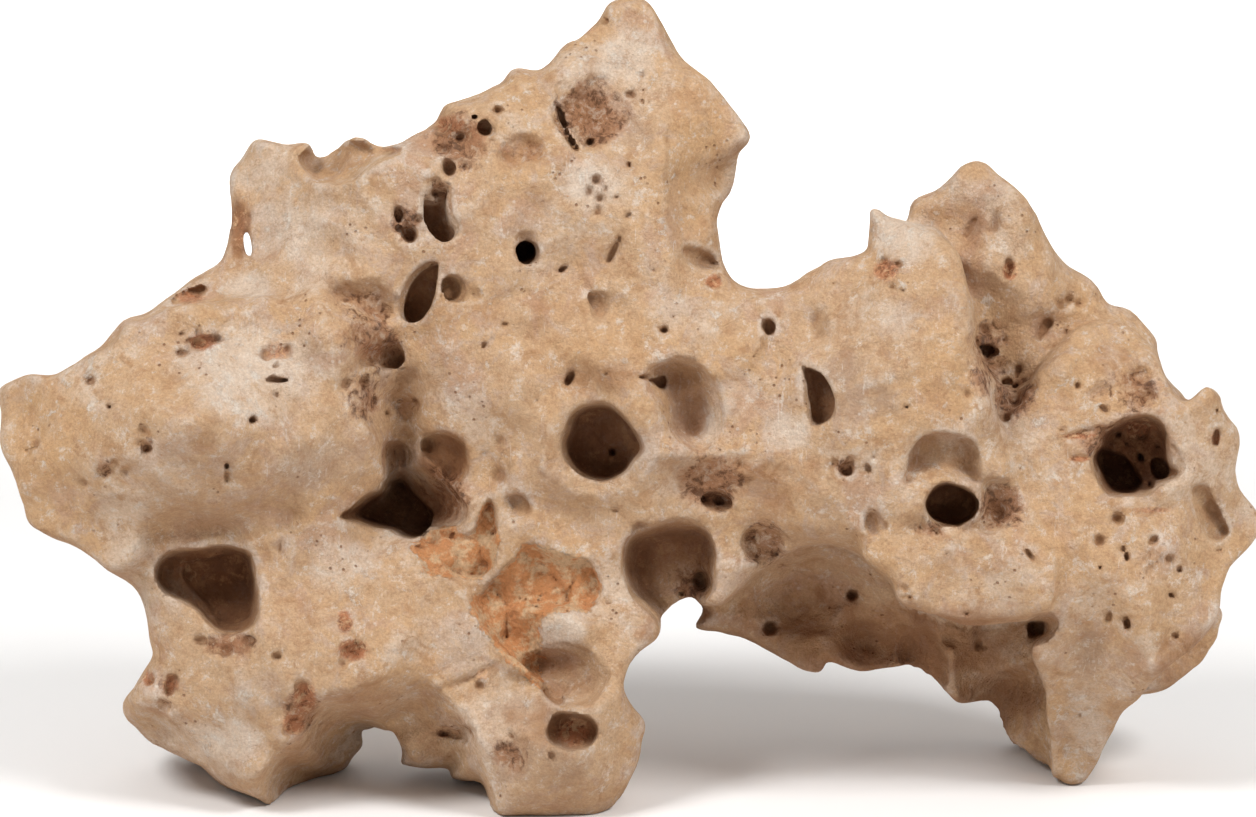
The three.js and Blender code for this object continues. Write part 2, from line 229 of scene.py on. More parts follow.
# The places of what follows are in pixels of the photo, measured from its top left corner.
PHOTO_WIDTH = 1256
PHOTO_HEIGHT = 817
PIXEL = FRONT_WIDTH / PHOTO_WIDTH

# Hollows with a drawn mouth: its outline, how deep it is in millimetres, how steep its sides are
# (1 a bowl, 4 a pit), and how far it leans to the right and up for each step inwards.
DRAWN_HOLLOWS = {
    "high left hole": (
        [(425, 196), (431, 190), (441, 193), (450, 187), (453, 200), (456, 215), (460, 226),
         (455, 236), (445, 242), (435, 239), (428, 229), (425, 212)], 13, 3, -0.15, -0.3),
    "slanted hole": (
        [(401, 313), (402, 296), (408, 280), (418, 268), (430, 261), (439, 262), (438, 280),
         (436, 296), (431, 309), (421, 320), (408, 322)], 13, 3.2, 0.1, -0.1),
    "small round hole": (
        [(445, 286), (447, 277), (458, 273), (468, 280), (471, 290), (466, 300), (455, 301),
         (447, 296)], 8, 2, -0.35, 0),
    "black round hole": (
        [(515, 249), (519, 242), (528, 238), (538, 242), (541, 252), (537, 261), (527, 265),
         (518, 261)], 24, 4, -0.1, 0.05),
    "high slit": (
        [(607, 263), (611, 250), (618, 237), (627, 226), (627, 237), (622, 250), (615, 263),
         (609, 266)], 4, 1.3, 0, 0),
    "leaf hole": (
        [(588, 296), (592, 292), (601, 293), (609, 299), (611, 309), (605, 319), (596, 319),
         (590, 307)], 3.5, 1.4, -0.2, 0.1),
    "flank hole": (
        [(678, 249), (686, 244), (700, 246), (714, 257), (721, 270), (711, 273), (696, 269),
         (684, 262)], 4.5, 1.8, 0, 0),
    "great round hole": (
        [(565, 428), (570, 413), (582, 404), (598, 401), (613, 404), (628, 415), (639, 431),
         (645, 449), (636, 462), (626, 474), (607, 483), (588, 480), (573, 471), (563, 456),
         (561, 441)], 19, 3.6, 0.05, 0),
    "great shallow bowl": (
        [(645, 372), (660, 361), (682, 357), (704, 366), (719, 381), (726, 400), (725, 420),
         (717, 438), (704, 451), (688, 452), (674, 440), (664, 424), (656, 408), (648, 392)],
        11, 1.2, -0.1, 0.1),
    "slit of the bowl": (
        [(636, 379), (648, 375), (658, 371), (664, 376), (662, 385), (655, 387), (647, 381)],
        14, 2.2, 0.1, -0.1),
    "standing hole": (
        [(800, 366), (808, 368), (821, 374), (831, 389), (834, 408), (829, 421), (816, 427),
         (807, 421), (803, 402), (801, 382)], 12, 3, 0.15, 0),
    "crumbly pit": (
        [(762, 322), (768, 320), (775, 325), (775, 334), (768, 337), (762, 331)], 6, 2, 0, 0),
    "upper bowl of the plate": (
        [(901, 482), (905, 465), (912, 449), (921, 439), (938, 433), (957, 435), (973, 440),
         (983, 454), (986, 472), (984, 486), (965, 481), (945, 477), (920, 478)], 7, 1.6, -0.2, 0.2),
    "deep hole of the plate": (
        [(922, 504), (926, 493), (934, 485), (946, 482), (962, 485), (974, 492), (979, 503),
         (977, 515), (970, 523), (955, 528), (940, 524), (928, 516)], 20, 3.5, 0, 0),
    "crumbly dent of the plate": (
        [(985, 482), (1000, 477), (1014, 480), (1022, 492), (1020, 508), (1012, 524),
         (995, 533), (978, 532), (964, 536), (958, 528), (976, 520), (982, 505)], 3.5, 2, 0, 0),
    "small bowl at the rim": (
        [(862, 519), (868, 511), (877, 512), (882, 520), (880, 532), (872, 536), (864, 531)],
        4, 1.6, 0, 0.2),
    "long dent at the right": (
        [(1191, 490), (1199, 485), (1208, 488), (1216, 502), (1224, 518), (1230, 530),
         (1220, 540), (1208, 538), (1200, 527), (1193, 510)], 5, 2.2, 0, 0),
    "long hole at the left edge": (
        [(172, 305), (178, 296), (190, 290), (203, 286), (209, 290), (202, 298), (190, 303),
         (178, 307)], 5, 2, 0, 0),
    "crumbly hollow of the peak": (
        [(553, 102), (556, 86), (566, 79), (578, 88), (592, 74), (606, 82), (618, 100),
         (630, 114), (632, 130), (622, 142), (602, 150), (585, 153), (572, 147), (562, 131),
         (554, 115)], 4, 1.5, 0, 0),
    "slit of the peak": (
        [(552, 102), (558, 103), (566, 118), (574, 133), (582, 150), (571, 149), (561, 131),
         (554, 115)], 9, 2.5, 0.15, 0),
    "brown dent": (
        [(495, 158), (500, 145), (512, 137), (530, 135), (545, 143), (548, 155), (540, 165),
         (522, 168), (505, 168)], 3, 1.3, 0, 0),
    "brown bowl under the shelf": (
        [(316, 284), (330, 279), (352, 279), (375, 283), (390, 292), (398, 308), (388, 322),
         (365, 322), (345, 311), (328, 301)], 4, 1, 0, 0),
    "pit under the shelf": (
        [(358, 366), (362, 350), (374, 342), (388, 339), (397, 348), (398, 361), (386, 366),
         (370, 368)], 8, 1.6, 0.35, -0.2),
    "brown dent of the channel": (
        [(396, 372), (410, 364), (421, 368), (426, 385), (425, 405), (418, 422), (406, 424),
         (397, 410), (391, 392)], 4, 1.3, 0, 0),
    "bowl over the lobe cave": (
        [(421, 443), (430, 434), (445, 431), (458, 437), (466, 450), (468, 468), (461, 482),
         (450, 486), (440, 478), (430, 466), (421, 456)], 10, 1.7, 0, 0.1),
    "ribbed end of the channel": (
        [(381, 443), (396, 440), (412, 446), (416, 462), (406, 478), (384, 480)], 9, 2, -0.2, 0),
    "slope of the lobe cave": (
        [(392, 470), (408, 462), (426, 468), (444, 480), (460, 496), (468, 514), (458, 527),
         (430, 528), (404, 520)], 17, 1.3, -0.3, 0),
    "bed of the upper clay": (
        [(408, 548), (418, 536), (430, 528), (455, 528), (468, 530), (480, 512), (490, 500),
         (500, 520), (498, 545), (494, 565), (480, 576), (455, 578), (430, 572)], 3, 3, 0, 0),
    "bed of the lower clay": (
        [(470, 602), (482, 592), (497, 578), (510, 562), (528, 548), (548, 550), (572, 553),
         (592, 562), (599, 580), (597, 600), (588, 610), (562, 611), (546, 620), (541, 640),
         (544, 662), (552, 690), (536, 684), (514, 668), (500, 650), (484, 626)], 4, 3, 0, 0),
    "scoop of the shoulder": (
        [(298, 158), (312, 146), (340, 138), (370, 140), (390, 146), (404, 153), (380, 165),
         (366, 175), (350, 185), (318, 186), (304, 172)], 12, 1.7, 0, 0),
    "hollow of the shoulder's edge": (
        [(232, 196), (240, 203), (247, 222), (249, 240), (245, 258), (234, 260), (230, 240),
         (230, 215)], 3.5, 1.2, 0, 0),
    "small bowl over the clay": (
        [(506, 500), (512, 495), (522, 494), (531, 500), (534, 511), (528, 519), (518, 521),
         (508, 515)], 3, 1.4, 0.2, 0.2),
    "wall bowl": (
        [(620, 575), (619, 560), (623, 543), (634, 531), (650, 524), (668, 520), (686, 520),
         (702, 523), (714, 532), (720, 550), (718, 570), (714, 588), (706, 602), (702, 616),
         (694, 640), (665, 640), (655, 622), (640, 610), (628, 598)], 23, 2.0, 0, 0),
    "crumbly hole over the bowl": (
        [(700, 500), (706, 492), (718, 490), (732, 495), (736, 505), (728, 512), (712, 511)],
        6, 2, 0, 0),
    "crumbly hole beside the bowl": (
        [(742, 535), (748, 524), (762, 520), (778, 525), (788, 535), (790, 548), (780, 558),
         (768, 566), (752, 564), (744, 552)], 5, 1.6, -0.2, 0.2),
    "bowl over the middle foot": (
        [(520, 664), (528, 650), (540, 644), (556, 643), (575, 643), (592, 650), (605, 663),
         (611, 678), (604, 694), (592, 704), (575, 707), (558, 703), (544, 692), (530, 680)],
        11, 1.4, -0.35, -0.1),
    "dark end of that bowl": (
        [(541, 686), (551, 684), (564, 690), (569, 698), (565, 706), (553, 702)], 10, 2, -0.1, 0),
    "rusty hole of the foot": (
        [(549, 726), (555, 714), (572, 711), (590, 716), (599, 726), (596, 740), (584, 749),
         (566, 751), (552, 746), (547, 736)], 10, 2.6, 0, 0),
    "crack of the foot": (
        [(437, 735), (445, 729), (455, 731), (464, 725), (474, 728), (476, 738), (466, 744),
         (452, 741), (443, 741)], 6, 2, 0, 0.2),
    "upper rust dent": (
        [(338, 612), (345, 606), (352, 612), (354, 624), (349, 636), (342, 633), (339, 622)],
        2, 1.5, 0, 0),
    "lower rust dent": (
        [(336, 655), (341, 645), (355, 641), (367, 636), (369, 645), (362, 656), (348, 664),
         (338, 662)], 2.5, 1.6, 0, 0),
    "great rust dent": (
        [(295, 682), (306, 682), (313, 692), (321, 700), (325, 712), (315, 722), (300, 733),
         (285, 737), (280, 730), (288, 716), (294, 700)], 3, 1.8, 0, 0),
    "left foot pit": (
        [(164, 690), (168, 679), (174, 676), (180, 680), (174, 692), (168, 695)], 3, 1.6, 0, 0),
    "left foot lower pit": (
        [(155, 703), (163, 700), (173, 706), (170, 712), (160, 710)], 3, 1.6, 0, 0),
    "hollow under the rim": (
        [(1026, 642), (1027, 623), (1035, 612), (1050, 613), (1058, 621), (1055, 632),
         (1046, 641), (1034, 646)], 8, 1.8, 0, 0.2),
    "brown pit of the rear peak": (
        [(961, 236), (964, 222), (972, 215), (978, 218), (974, 230), (967, 239)], 2.5, 1.4, 0, 0),
    "rusty pit of the rear peak": (
        [(1003, 276), (1005, 262), (1010, 259), (1015, 266), (1015, 276), (1008, 284)],
        2.5, 1.6, 0, 0),
    "dent of the rear peak": (
        [(1033, 340), (1035, 330), (1041, 320), (1050, 317), (1054, 324), (1048, 335),
         (1040, 343)], 3.5, 1.5, 0, 0),
    "pit of the cleft": (
        [(974, 346), (984, 343), (996, 347), (998, 353), (990, 360), (984, 369), (981, 358)],
        8, 2.2, -0.2, 0),
    "dimple of the plate": (
        [(808, 330), (810, 318), (820, 313), (826, 322), (824, 336), (815, 341)], 1.6, 1.2, 0, 0),
    "crumbly pit of the plate": (
        [(838, 470), (842, 461), (849, 458), (854, 463), (852, 473), (845, 477)], 3.5, 2, 0, 0),
    "hole of the right knob": (
        [(1212, 441), (1215, 431), (1221, 428), (1223, 437), (1219, 447), (1214, 448)], 4, 2, 0, 0),
    "pit of the left lobe": (
        [(263, 379), (270, 374), (282, 376), (290, 379), (283, 382), (272, 382)], 4, 2, 0, 0),
    "left window": (
        [(155, 579), (158, 562), (172, 550), (198, 546), (222, 543), (240, 545), (252, 553),
         (257, 575), (260, 598), (261, 618), (254, 629), (240, 635), (224, 634), (210, 625),
         (198, 612), (182, 602), (164, 593)], 17, 4, 0, 0),
    "depth of the left window": (
        [(176, 574), (182, 556), (206, 549), (236, 546), (251, 554), (257, 575), (260, 600),
         (258, 622), (242, 632), (226, 630), (212, 620), (202, 606), (188, 594)],
        21, 3, 0, 0),
    "lobe cave": (
        [(340, 519), (352, 507), (364, 497), (376, 490), (381, 478), (396, 476), (404, 488),
         (414, 494), (428, 508), (430, 522), (422, 534), (410, 539), (398, 536), (388, 530),
         (372, 528), (356, 524)], 27, 3, 0.1, 0),
    "right cave": (
        [(1091, 459), (1099, 446), (1102, 436), (1112, 428), (1126, 420), (1145, 416),
         (1160, 419), (1168, 430), (1172, 446), (1175, 462), (1183, 473), (1170, 480),
         (1158, 486), (1147, 494), (1134, 495), (1120, 499), (1106, 495), (1097, 482)],
        18, 3.4, 0, 0),
    "left depth of the right cave": (
        [(1092, 460), (1100, 447), (1114, 450), (1130, 456), (1140, 468), (1148, 482),
         (1138, 494), (1120, 497), (1107, 491), (1098, 478)], 28, 2, 0, 0),
    "right depth of the right cave": (
        [(1149, 458), (1160, 452), (1170, 458), (1174, 470), (1168, 479), (1156, 481),
         (1150, 472)], 24, 2, 0, 0),
    "top depth of the right cave": (
        [(1134, 436), (1142, 424), (1150, 420), (1154, 430), (1150, 441), (1140, 443)],
        20, 1.6, 0, 0),
    "dent beside the right cave": (
        [(1173, 444), (1180, 447), (1187, 460), (1188, 470), (1178, 472), (1174, 460)],
        2.5, 1.5, 0, 0),
    "first scallop of the rear wall": (
        [(762, 600), (790, 562), (830, 548), (862, 566), (882, 600), (880, 640), (866, 662),
         (840, 655), (826, 640), (796, 640), (770, 625)], 7, 1.2, 0, 0),
    "second scallop of the rear wall": (
        [(896, 650), (902, 634), (920, 624), (938, 632), (948, 655), (950, 682), (938, 690),
         (920, 680), (900, 668)], 7, 1.8, 0, 0),
    "third scallop of the rear wall": (
        [(968, 700), (982, 682), (1002, 666), (1024, 661), (1040, 670), (1048, 690),
         (1047, 730), (1050, 775), (1016, 762), (996, 738), (982, 716)], 7, 1.8, 0, 0),
}

# Small hollows: x, y and half sizes in pixels, depth in millimetres, turn in degrees.
SMALL_HOLLOWS = [
    (1004, 381, 6, 4, 4, 20), (1017, 368, 4, 5, 3, 0), (1032, 384, 5, 6, 3, 0), (994, 398, 4, 8, 5, 0),
    (1066, 333, 3, 3, 3, 0), (988, 230, 3, 4, 2, 0), (613, 453, 6, 7, 25, 0), (590, 141, 5, 4, 9, 0),
    (561, 268, 7, 3, 4, 30), (665, 330, 5, 4, 4, 0), (770, 628, 8, 8, 8, 0), (852, 595, 8, 8, 14, 0),
    (756, 535, 6, 5, 9, 0), (776, 553, 5, 5, 8, 0), (485, 128, 7, 9, 7, 0), (476, 117, 5, 4, 5, 0),
    (452, 168, 6, 9, 6, 20), (446, 150, 8, 6, 4, 0), (463, 138, 5, 5, 4, 0), (500, 110, 6, 4, 4, 0),
    (440, 120, 8, 4, 3, -20), (399, 214, 5, 8, 5, 0), (408, 236, 6, 7, 7, 0), (398, 228, 3, 4, 4, 0),
    (404, 384, 6, 9, 4, 20), (414, 404, 7, 6, 5, 0), (396, 398, 4, 5, 3, 0), (253, 421, 5, 4, 5, 20),
    (142, 430, 5, 5, 2, 0), (147, 450, 5, 4, 4, 0), (105, 471, 9, 10, 3.5, 30), (82, 483, 6, 6, 2.5, 0),
    (229, 466, 3, 4, 4, 0), (229, 478, 3, 7, 2.5, 0), (36, 441, 5, 5, 2, 0), (29, 449, 3, 3, 3, 0),
    (108, 408, 3, 3, 3, 0), (201, 341, 13, 8, 4, 25), (182, 352, 7, 4, 2.5, 10), (217, 336, 5, 4, 3, 0),
    (268, 352, 7, 8, 2, 0), (284, 350, 7, 6, 2, 0), (148, 679, 6, 9, 2.5, 20), (134, 625, 5, 2, 2, 20),
    (480, 686, 5, 5, 2.5, 0), (1099, 541, 6, 6, 3, 0), (1118, 519, 8, 6, 4, 0), (1128, 557, 3, 5, 4, 20),
    (1124, 549, 4, 3, 3, 0), (1170, 560, 4, 5, 2.5, 0), (1180, 570, 3, 4, 3, 0), (1172, 595, 4, 2.5, 4, 0),
    (1100, 568, 2.5, 2.5, 3, 0), (1128, 625, 4, 8, 5, 10), (1173, 638, 5, 4, 3, 0),
    (1030, 553, 3, 8, 3, 35), (905, 405, 5, 1.6, 2.5, -25), (1076, 387, 4, 4, 3, 0),
    (1218, 412, 3, 3, 3, 0), (868, 467, 3, 6, 3, 20), (994, 223, 7, 12, 2, 0), (1063, 305, 6, 5, 2.5, 0),
    (1080, 305, 5, 4, 2, 0), (1118, 438, 7, 5, 23, 20), (1142, 458, 5, 8, 26, 20), (1160, 444, 5, 4, 23, 0),
    (1128, 446, 4, 4, 22, 0), (1110, 446, 5, 4, 21, 0), (1150, 484, 6, 4, 22, 0), (1110, 320, 10, 5, 2, 0),
    (714, 283, 9, 7, 3, 0), (280, 545, 2, 8, 1.6, 0), (200, 640, 9, 6, 3, 0), (226, 652, 8, 6, 3, 20),
    (248, 642, 8, 5, 2.5, 0), (630, 165, 3, 3, 3, 0), (570, 378, 4, 8, 5, -25), (497, 473, 9, 5, 2.5, -20),
    (500, 440, 6, 6, 2, 0), (505, 325, 5, 3, 2, 0), (527, 236, 10, 6, 2.5, 0), (1143, 372, 14, 10, 2.5, 40),
    (1100, 395, 14, 10, 2, 20), (950, 640, 14, 8, 3, 0), (700, 580, 12, 14, 30, 0), (682, 594, 8, 8, 30, 0),
    (640, 530, 8, 8, 9, 0), (722, 500, 6, 5, 10, 0), (604, 20, 4, 3, 2, 0), (577, 38, 3, 3, 2.5, 0),
    (590, 190, 4, 6, 2.5, 0), (601, 200, 4, 4, 2.5, 0), (668, 140, 3, 3, 2, 0), (438, 192, 6, 4, 8, 0),
    (475, 292, 7, 6, 2, 0), (965, 395, 4, 4, 2, 0), (770, 345, 9, 9, 1.6, 0), (905, 590, 4, 3, 2, 0),
    (860, 560, 4, 4, 2, 0),
]

# A slit right through the thin left shoulder: u, v, half width, half height, turn in degrees.
SHOULDER_SLIT = (74.3, 171.8, 1.1, 3.9, 8)

# Hollows in the back: u, v, half width, half height, depth, turn in degrees, width of the rim.
BACK_HOLLOWS = [
    (110, 120, 13, 12, 26, 0, 2), (160, 150, 9, 11, 18, 20, 2), (215, 105, 14, 11, 22, 0, 2),
    (70, 95, 9, 8, 14, 0, 2), (190, 200, 8, 8, 16, 0, 1.5), (265, 120, 9, 13, 18, 15, 2),
    (310, 90, 12, 11, 24, 0, 2), (80, 45, 10, 8, 14, 0, 2), (140, 75, 7, 7, 16, 0, 1.5),
    (300, 160, 8, 9, 14, 0, 1.5), (165, 30, 9, 8, 12, 0, 2), (115, 175, 8, 7, 13, 0, 2),
]

# Hollows in the top, the ends and the underside: u, depth, v, and three half sizes.
OTHER_HOLLOWS = [
    (104, 14, 204, 9, 8, 10), (150, 34, 214, 7, 10, 9), (196, 16, 238, 5, 6, 8), (244, 30, 164, 12, 9, 9),
    (318, 36, 168, 7, 9, 9), (372, 22, 92, 10, 9, 11), (368, 32, 56, 9, 8, 8), (4, 8, 116, 9, 7, 7),
    (36, 14, 42, 9, 9, 8), (60, 26, 160, 8, 9, 7), (120, 10, 24, 8, 14, 7),
]

# Crumbly orange clay that fills two low places in the front, as outlines in pixels.
CLAY_BEDS = [
    [(408, 548), (420, 532), (436, 522), (455, 526), (468, 530), (480, 512), (490, 500), (500, 520),
     (498, 545), (494, 565), (480, 576), (455, 578), (430, 576), (416, 562)],
    [(470, 600), (482, 590), (497, 578), (510, 562), (528, 546), (548, 550), (572, 553),
     (592, 562), (599, 580), (597, 600), (588, 610), (562, 611), (546, 620), (541, 640),
     (540, 662), (548, 690), (536, 684), (520, 672), (500, 664), (492, 648), (480, 625)],
]

# Lines along which the face stands out or sinks in: points in pixels, half width and how far out.
FACE_LINES = [
    ([(545, 468), (552, 430), (575, 398), (605, 385), (632, 395), (650, 425), (657, 450)], 5, 2.6),
    ([(545, 470), (575, 492), (608, 496), (640, 482), (660, 456), (697, 458), (745, 449)], 5, 3.6),
    ([(575, 378), (598, 398)], 6, -4),
    ([(300, 300), (330, 276), (375, 278), (402, 298)], 3, 1.8),
    ([(374, 430), (381, 462), (370, 488), (348, 508)], 6, 3),
    ([(385, 385), (402, 430), (402, 470)], 7, -3),
    ([(250, 540), (290, 526), (345, 528), (385, 540), (412, 556), (450, 582), (472, 604)], 5, 3),
    ([(472, 604), (490, 645), (508, 668)], 3, 2.4),
    ([(382, 548), (432, 590), (470, 640), (500, 668)], 6, 2),
    ([(245, 535), (262, 560), (268, 600), (262, 640)], 4, 2.4),
    ([(700, 500), (740, 470), (790, 480), (800, 500)], 4, 2),
    ([(438, 690), (470, 713), (484, 745), (486, 775), (500, 808)], 4, 3.5),
    ([(508, 670), (528, 674), (545, 698), (575, 714), (605, 706), (622, 690)], 3.5, 2.6),
    ([(440, 691), (468, 680), (494, 664)], 1.0, -1.6),
    ([(904, 481), (925, 475), (945, 475), (963, 479)], 0.9, -2.4),
    ([(1062, 437), (1080, 434), (1098, 432)], 0.8, -1.6),
    ([(1070, 458), (1095, 460)], 0.8, -1.4),
    ([(1125, 513), (1150, 511), (1172, 507)], 0.9, -1.2),
    ([(955, 700), (950, 665), (958, 632)], 3, 4),
    ([(845, 668), (832, 640), (838, 610)], 3, 2.5),
    ([(1040, 690), (1046, 720), (1052, 765)], 3, 2),
    ([(1050, 322), (1028, 360), (1008, 400), (1000, 428)], 5, -1.5),
    ([(1060, 370), (1100, 345), (1140, 360), (1165, 400)], 5, 2.5),
    ([(968, 262), (985, 300), (1010, 320), (1040, 310)], 5, 2),
    ([(290, 172), (318, 187), (350, 186), (378, 166), (402, 154)], 3, 2.2),
    ([(160, 540), (205, 522), (245, 535)], 6, -4),
    ([(215, 332), (250, 300)], 0.8, -0.8),
    ([(740, 470), (770, 455), (800, 470), (830, 495), (850, 530)], 4, 2.2),
    ([(720, 600), (755, 572), (800, 545), (835, 542), (862, 560)], 3, 2),
    ([(620, 600), (650, 628), (640, 655), (628, 680)], 3, 1.6),
    ([(500, 300), (520, 290), (545, 300)], 2, -1),
    ([(870, 215), (890, 225), (915, 223), (945, 235), (962, 258)], 3, 1.6),
    ([(1190, 480), (1185, 450), (1175, 425)], 3, 2),
    ([(350, 690), (400, 675), (440, 690)], 6, 3),
    ([(345, 745), (372, 725), (400, 722)], 6, -5),
]

# Places where the face swells or sinks: x, y and half sizes in pixels, how far out in millimetres.
FACE_SWELLS = [
    (520, 320, 55, 32, -3), (205, 525, 40, 18, -4), (570, 626, 30, 20, 4), (195, 395, 60, 60, 2.5),
    (300, 460, 50, 40, 2), (90, 440, 40, 40, 1.5), (60, 500, 40, 30, -2), (300, 230, 60, 50, 1.5),
    (560, 200, 50, 40, 2), (470, 380, 40, 40, 2), (820, 330, 60, 40, -1.5), (900, 370, 50, 60, 2),
    (880, 560, 40, 25, 1.5), (1120, 560, 50, 60, 2), (1085, 650, 26, 30, -3), (1190, 600, 30, 50, -2),
    (230, 700, 60, 40, 2), (430, 640, 60, 40, 3), (560, 770, 60, 30, 3), (630, 60, 40, 40, 2),
    (400, 165, 30, 20, 2), (430, 500, 40, 30, -4), (700, 480, 45, 30, -2), (1000, 560, 60, 30, 2),
    (890, 640, 35, 30, -6), (990, 705, 40, 35, -6), (770, 610, 45, 30, -2), (510, 755, 25, 20, -1.5),
    (430, 720, 35, 35, -5), (640, 140, 20, 20, -1.5), (450, 150, 30, 30, -2), (1140, 395, 35, 25, -2),
    (1205, 510, 20, 40, -2), (345, 480, 30, 25, -1.5), (470, 610, 20, 20, -2), (700, 330, 50, 20, 1.5),
]

# Ridges with a face that falls away on the right of each, from its first point to its last:
# points in pixels, slope, and how far the fall reaches in millimetres.
FALLS = [
    ((256, 797), (264, 766), 2.2, 22),
    ((264, 766), (318, 704), 2.2, 24),
    ((318, 704), (346, 696), 1.4, 20),
    ((125, 701), (168, 712), 1.3, 10),
    ((168, 712), (254, 786), 1.3, 10),
    ((668, 262), (662, 180), 0.7, 26),
    ((662, 180), (664, 40), 0.6, 26),
    ((440, 690), (476, 735), 1.2, 14),
    ((476, 735), (500, 808), 1.0, 14),
    ((345, 517), (381, 481), 1.2, 12),
    ((381, 481), (382, 440), 2.2, 9),
    ((382, 440), (366, 400), 1.0, 10),
    ((470, 602), (412, 547), 0.6, 8),
    ((510, 668), (470, 602), 0.5, 8),
    ((1000, 430), (970, 300), 1.0, 10),
]

# Where the front is stained or crusted: x, y and half sizes in pixels, strength.
RUST = [
    (1138, 428, 30, 14, 0.7), (366, 352, 16, 14, 0.6), (330, 640, 6, 10, 0.4), (186, 570, 30, 20, 0.5),
    (305, 698, 14, 19, 1), (294, 723, 14, 14, 1), (353, 650, 19, 13, 1), (345, 621, 10, 16, 0.9),
    (203, 342, 20, 11, 0.9), (276, 351, 20, 12, 0.7), (714, 281, 11, 9, 1), (1010, 271, 9, 12, 1),
    (886, 270, 17, 14, 0.9), (171, 685, 11, 14, 0.8), (148, 678, 8, 12, 0.8), (190, 297, 19, 10, 0.8),
    (573, 732, 24, 18, 0.9), (450, 124, 24, 13, 0.8), (478, 135, 22, 20, 0.6), (390, 150, 20, 6, 0.6),
    (585, 30, 18, 6, 0.6), (660, 38, 8, 12, 0.6), (232, 316, 20, 8, 0.5), (1080, 436, 24, 4, 0.9),
    (1080, 459, 14, 4, 0.9), (1150, 510, 28, 5, 0.7), (373, 350, 18, 12, 0.7), (37, 441, 9, 9, 0.5),
    (505, 150, 12, 10, 0.6), (228, 646, 34, 14, 0.6), (240, 225, 10, 30, 0.6), (482, 675, 10, 9, 0.6),
    (900, 583, 18, 6, 0.5), (965, 345, 16, 30, 0.4), (1216, 438, 8, 12, 0.7), (300, 145, 20, 5, 0.5),
    (575, 115, 10, 25, 0.4),
]
CRUST = [
    (366, 322, 34, 34, 0.8), (362, 398, 28, 34, 0.7), (398, 458, 18, 20, 0.6), (592, 113, 40, 38, 1),
    (465, 140, 36, 38, 0.9), (405, 225, 16, 24, 0.9), (378, 345, 30, 28, 0.9), (408, 400, 26, 40, 0.5),
    (355, 298, 40, 20, 0.6), (520, 152, 28, 18, 0.6), (712, 485, 42, 34, 0.9), (765, 545, 28, 26, 0.9),
    (1001, 505, 26, 28, 1), (935, 528, 40, 10, 0.7), (1130, 395, 45, 32, 0.7), (990, 355, 28, 50, 0.8),
    (1015, 395, 24, 26, 0.9), (510, 755, 24, 20, 0.8), (440, 190, 14, 14, 0.8), (442, 494, 34, 36, 0.9),
    (600, 445, 34, 34, 0.45), (845, 466, 12, 12, 0.7), (1125, 450, 46, 38, 0.9), (185, 565, 30, 20, 0.7),
    (228, 645, 34, 16, 0.9), (105, 470, 16, 18, 0.5), (145, 440, 10, 20, 0.4), (300, 710, 24, 26, 0.9),
    (353, 650, 20, 14, 0.8), (345, 621, 10, 16, 0.7), (276, 352, 24, 14, 0.5), (200, 343, 26, 12, 0.5),
    (573, 732, 24, 18, 0.8), (690, 580, 26, 30, 0.8), (600, 195, 18, 20, 0.5), (1160, 560, 40, 30, 0.25),
    (450, 733, 24, 10, 0.7), (940, 645, 50, 14, 0.4), (886, 270, 17, 14, 0.4), (620, 85, 30, 20, 0.3),
    (497, 460, 14, 26, 0.5), (570, 400, 20, 20, 0.2), (890, 590, 30, 12, 0.4), (170, 690, 16, 18, 0.7),
]

# Broad tints of the stone, in the same way, with painted light in some paler zones and painted shade in
# some greyer and browner zones.
WARM = [
    (1030, 250, 40, 40, 0.8), (1070, 300, 40, 24, 0.9), (1130, 600, 50, 60, 0.6), (1085, 730, 30, 40, 0.6),
    (50, 430, 55, 60, 1), (140, 400, 50, 60, 0.6), (700, 150, 34, 120, 1), (945, 370, 34, 60, 1),
    (600, 350, 70, 30, 0.7), (1050, 560, 60, 60, 0.5), (900, 560, 60, 30, 0.7), (560, 410, 40, 40, 0.6),
    (350, 300, 40, 30, 0.5), (1130, 330, 40, 30, 0.5), (1080, 700, 40, 60, 0.6), (90, 340, 60, 30, 0.5),
    (440, 330, 40, 30, 0.4), (340, 150, 50, 20, 0.6), (780, 520, 60, 30, 0.5), (340, 430, 40, 60, 0.4),
    (1190, 440, 30, 50, 0.3), (610, 620, 25, 50, 0.5), (570, 480, 50, 30, 0.3), (1100, 400, 60, 40, 0.5),
]
# Paler zones: partly the stone's own pale tone, partly painted light, as on the lit lower right wall of the
# great shallow bowl and on the right foot.
PALER_AND_LIT = [
    (265, 175, 38, 30, 0.7), (170, 475, 50, 34, 0.5), (255, 690, 36, 36, 0.6), (470, 775, 40, 26, 0.5),
    (1060, 250, 30, 40, 0.4), (1080, 735, 18, 30, 0.7), (250, 286, 30, 16, 1), (400, 690, 20, 12, 0.5),
    (1000, 610, 60, 8, 0.5), (890, 225, 50, 16, 0.6), (245, 370, 75, 62, 0.8), (295, 225, 52, 60, 0.7),
    (625, 60, 38, 36, 1), (600, 190, 40, 34, 0.9), (905, 240, 44, 30, 0.9), (790, 432, 30, 22, 0.9),
    (565, 632, 30, 22, 0.9), (500, 700, 30, 20, 0.5), (225, 740, 44, 28, 0.9), (350, 570, 60, 40, 0.6),
    (700, 310, 60, 24, 0.6), (890, 320, 40, 30, 0.6), (460, 640, 40, 30, 0.5), (1160, 500, 50, 20, 0.4),
    (600, 520, 30, 40, 0.4), (960, 180, 30, 20, 0.4), (640, 470, 30, 20, 0.5), (1030, 470, 30, 60, 0.4),
    (180, 620, 20, 40, 0.3), (690, 400, 28, 36, 0.4), (708, 420, 16, 24, 0.9), (1085, 720, 30, 50, 0.8),
]
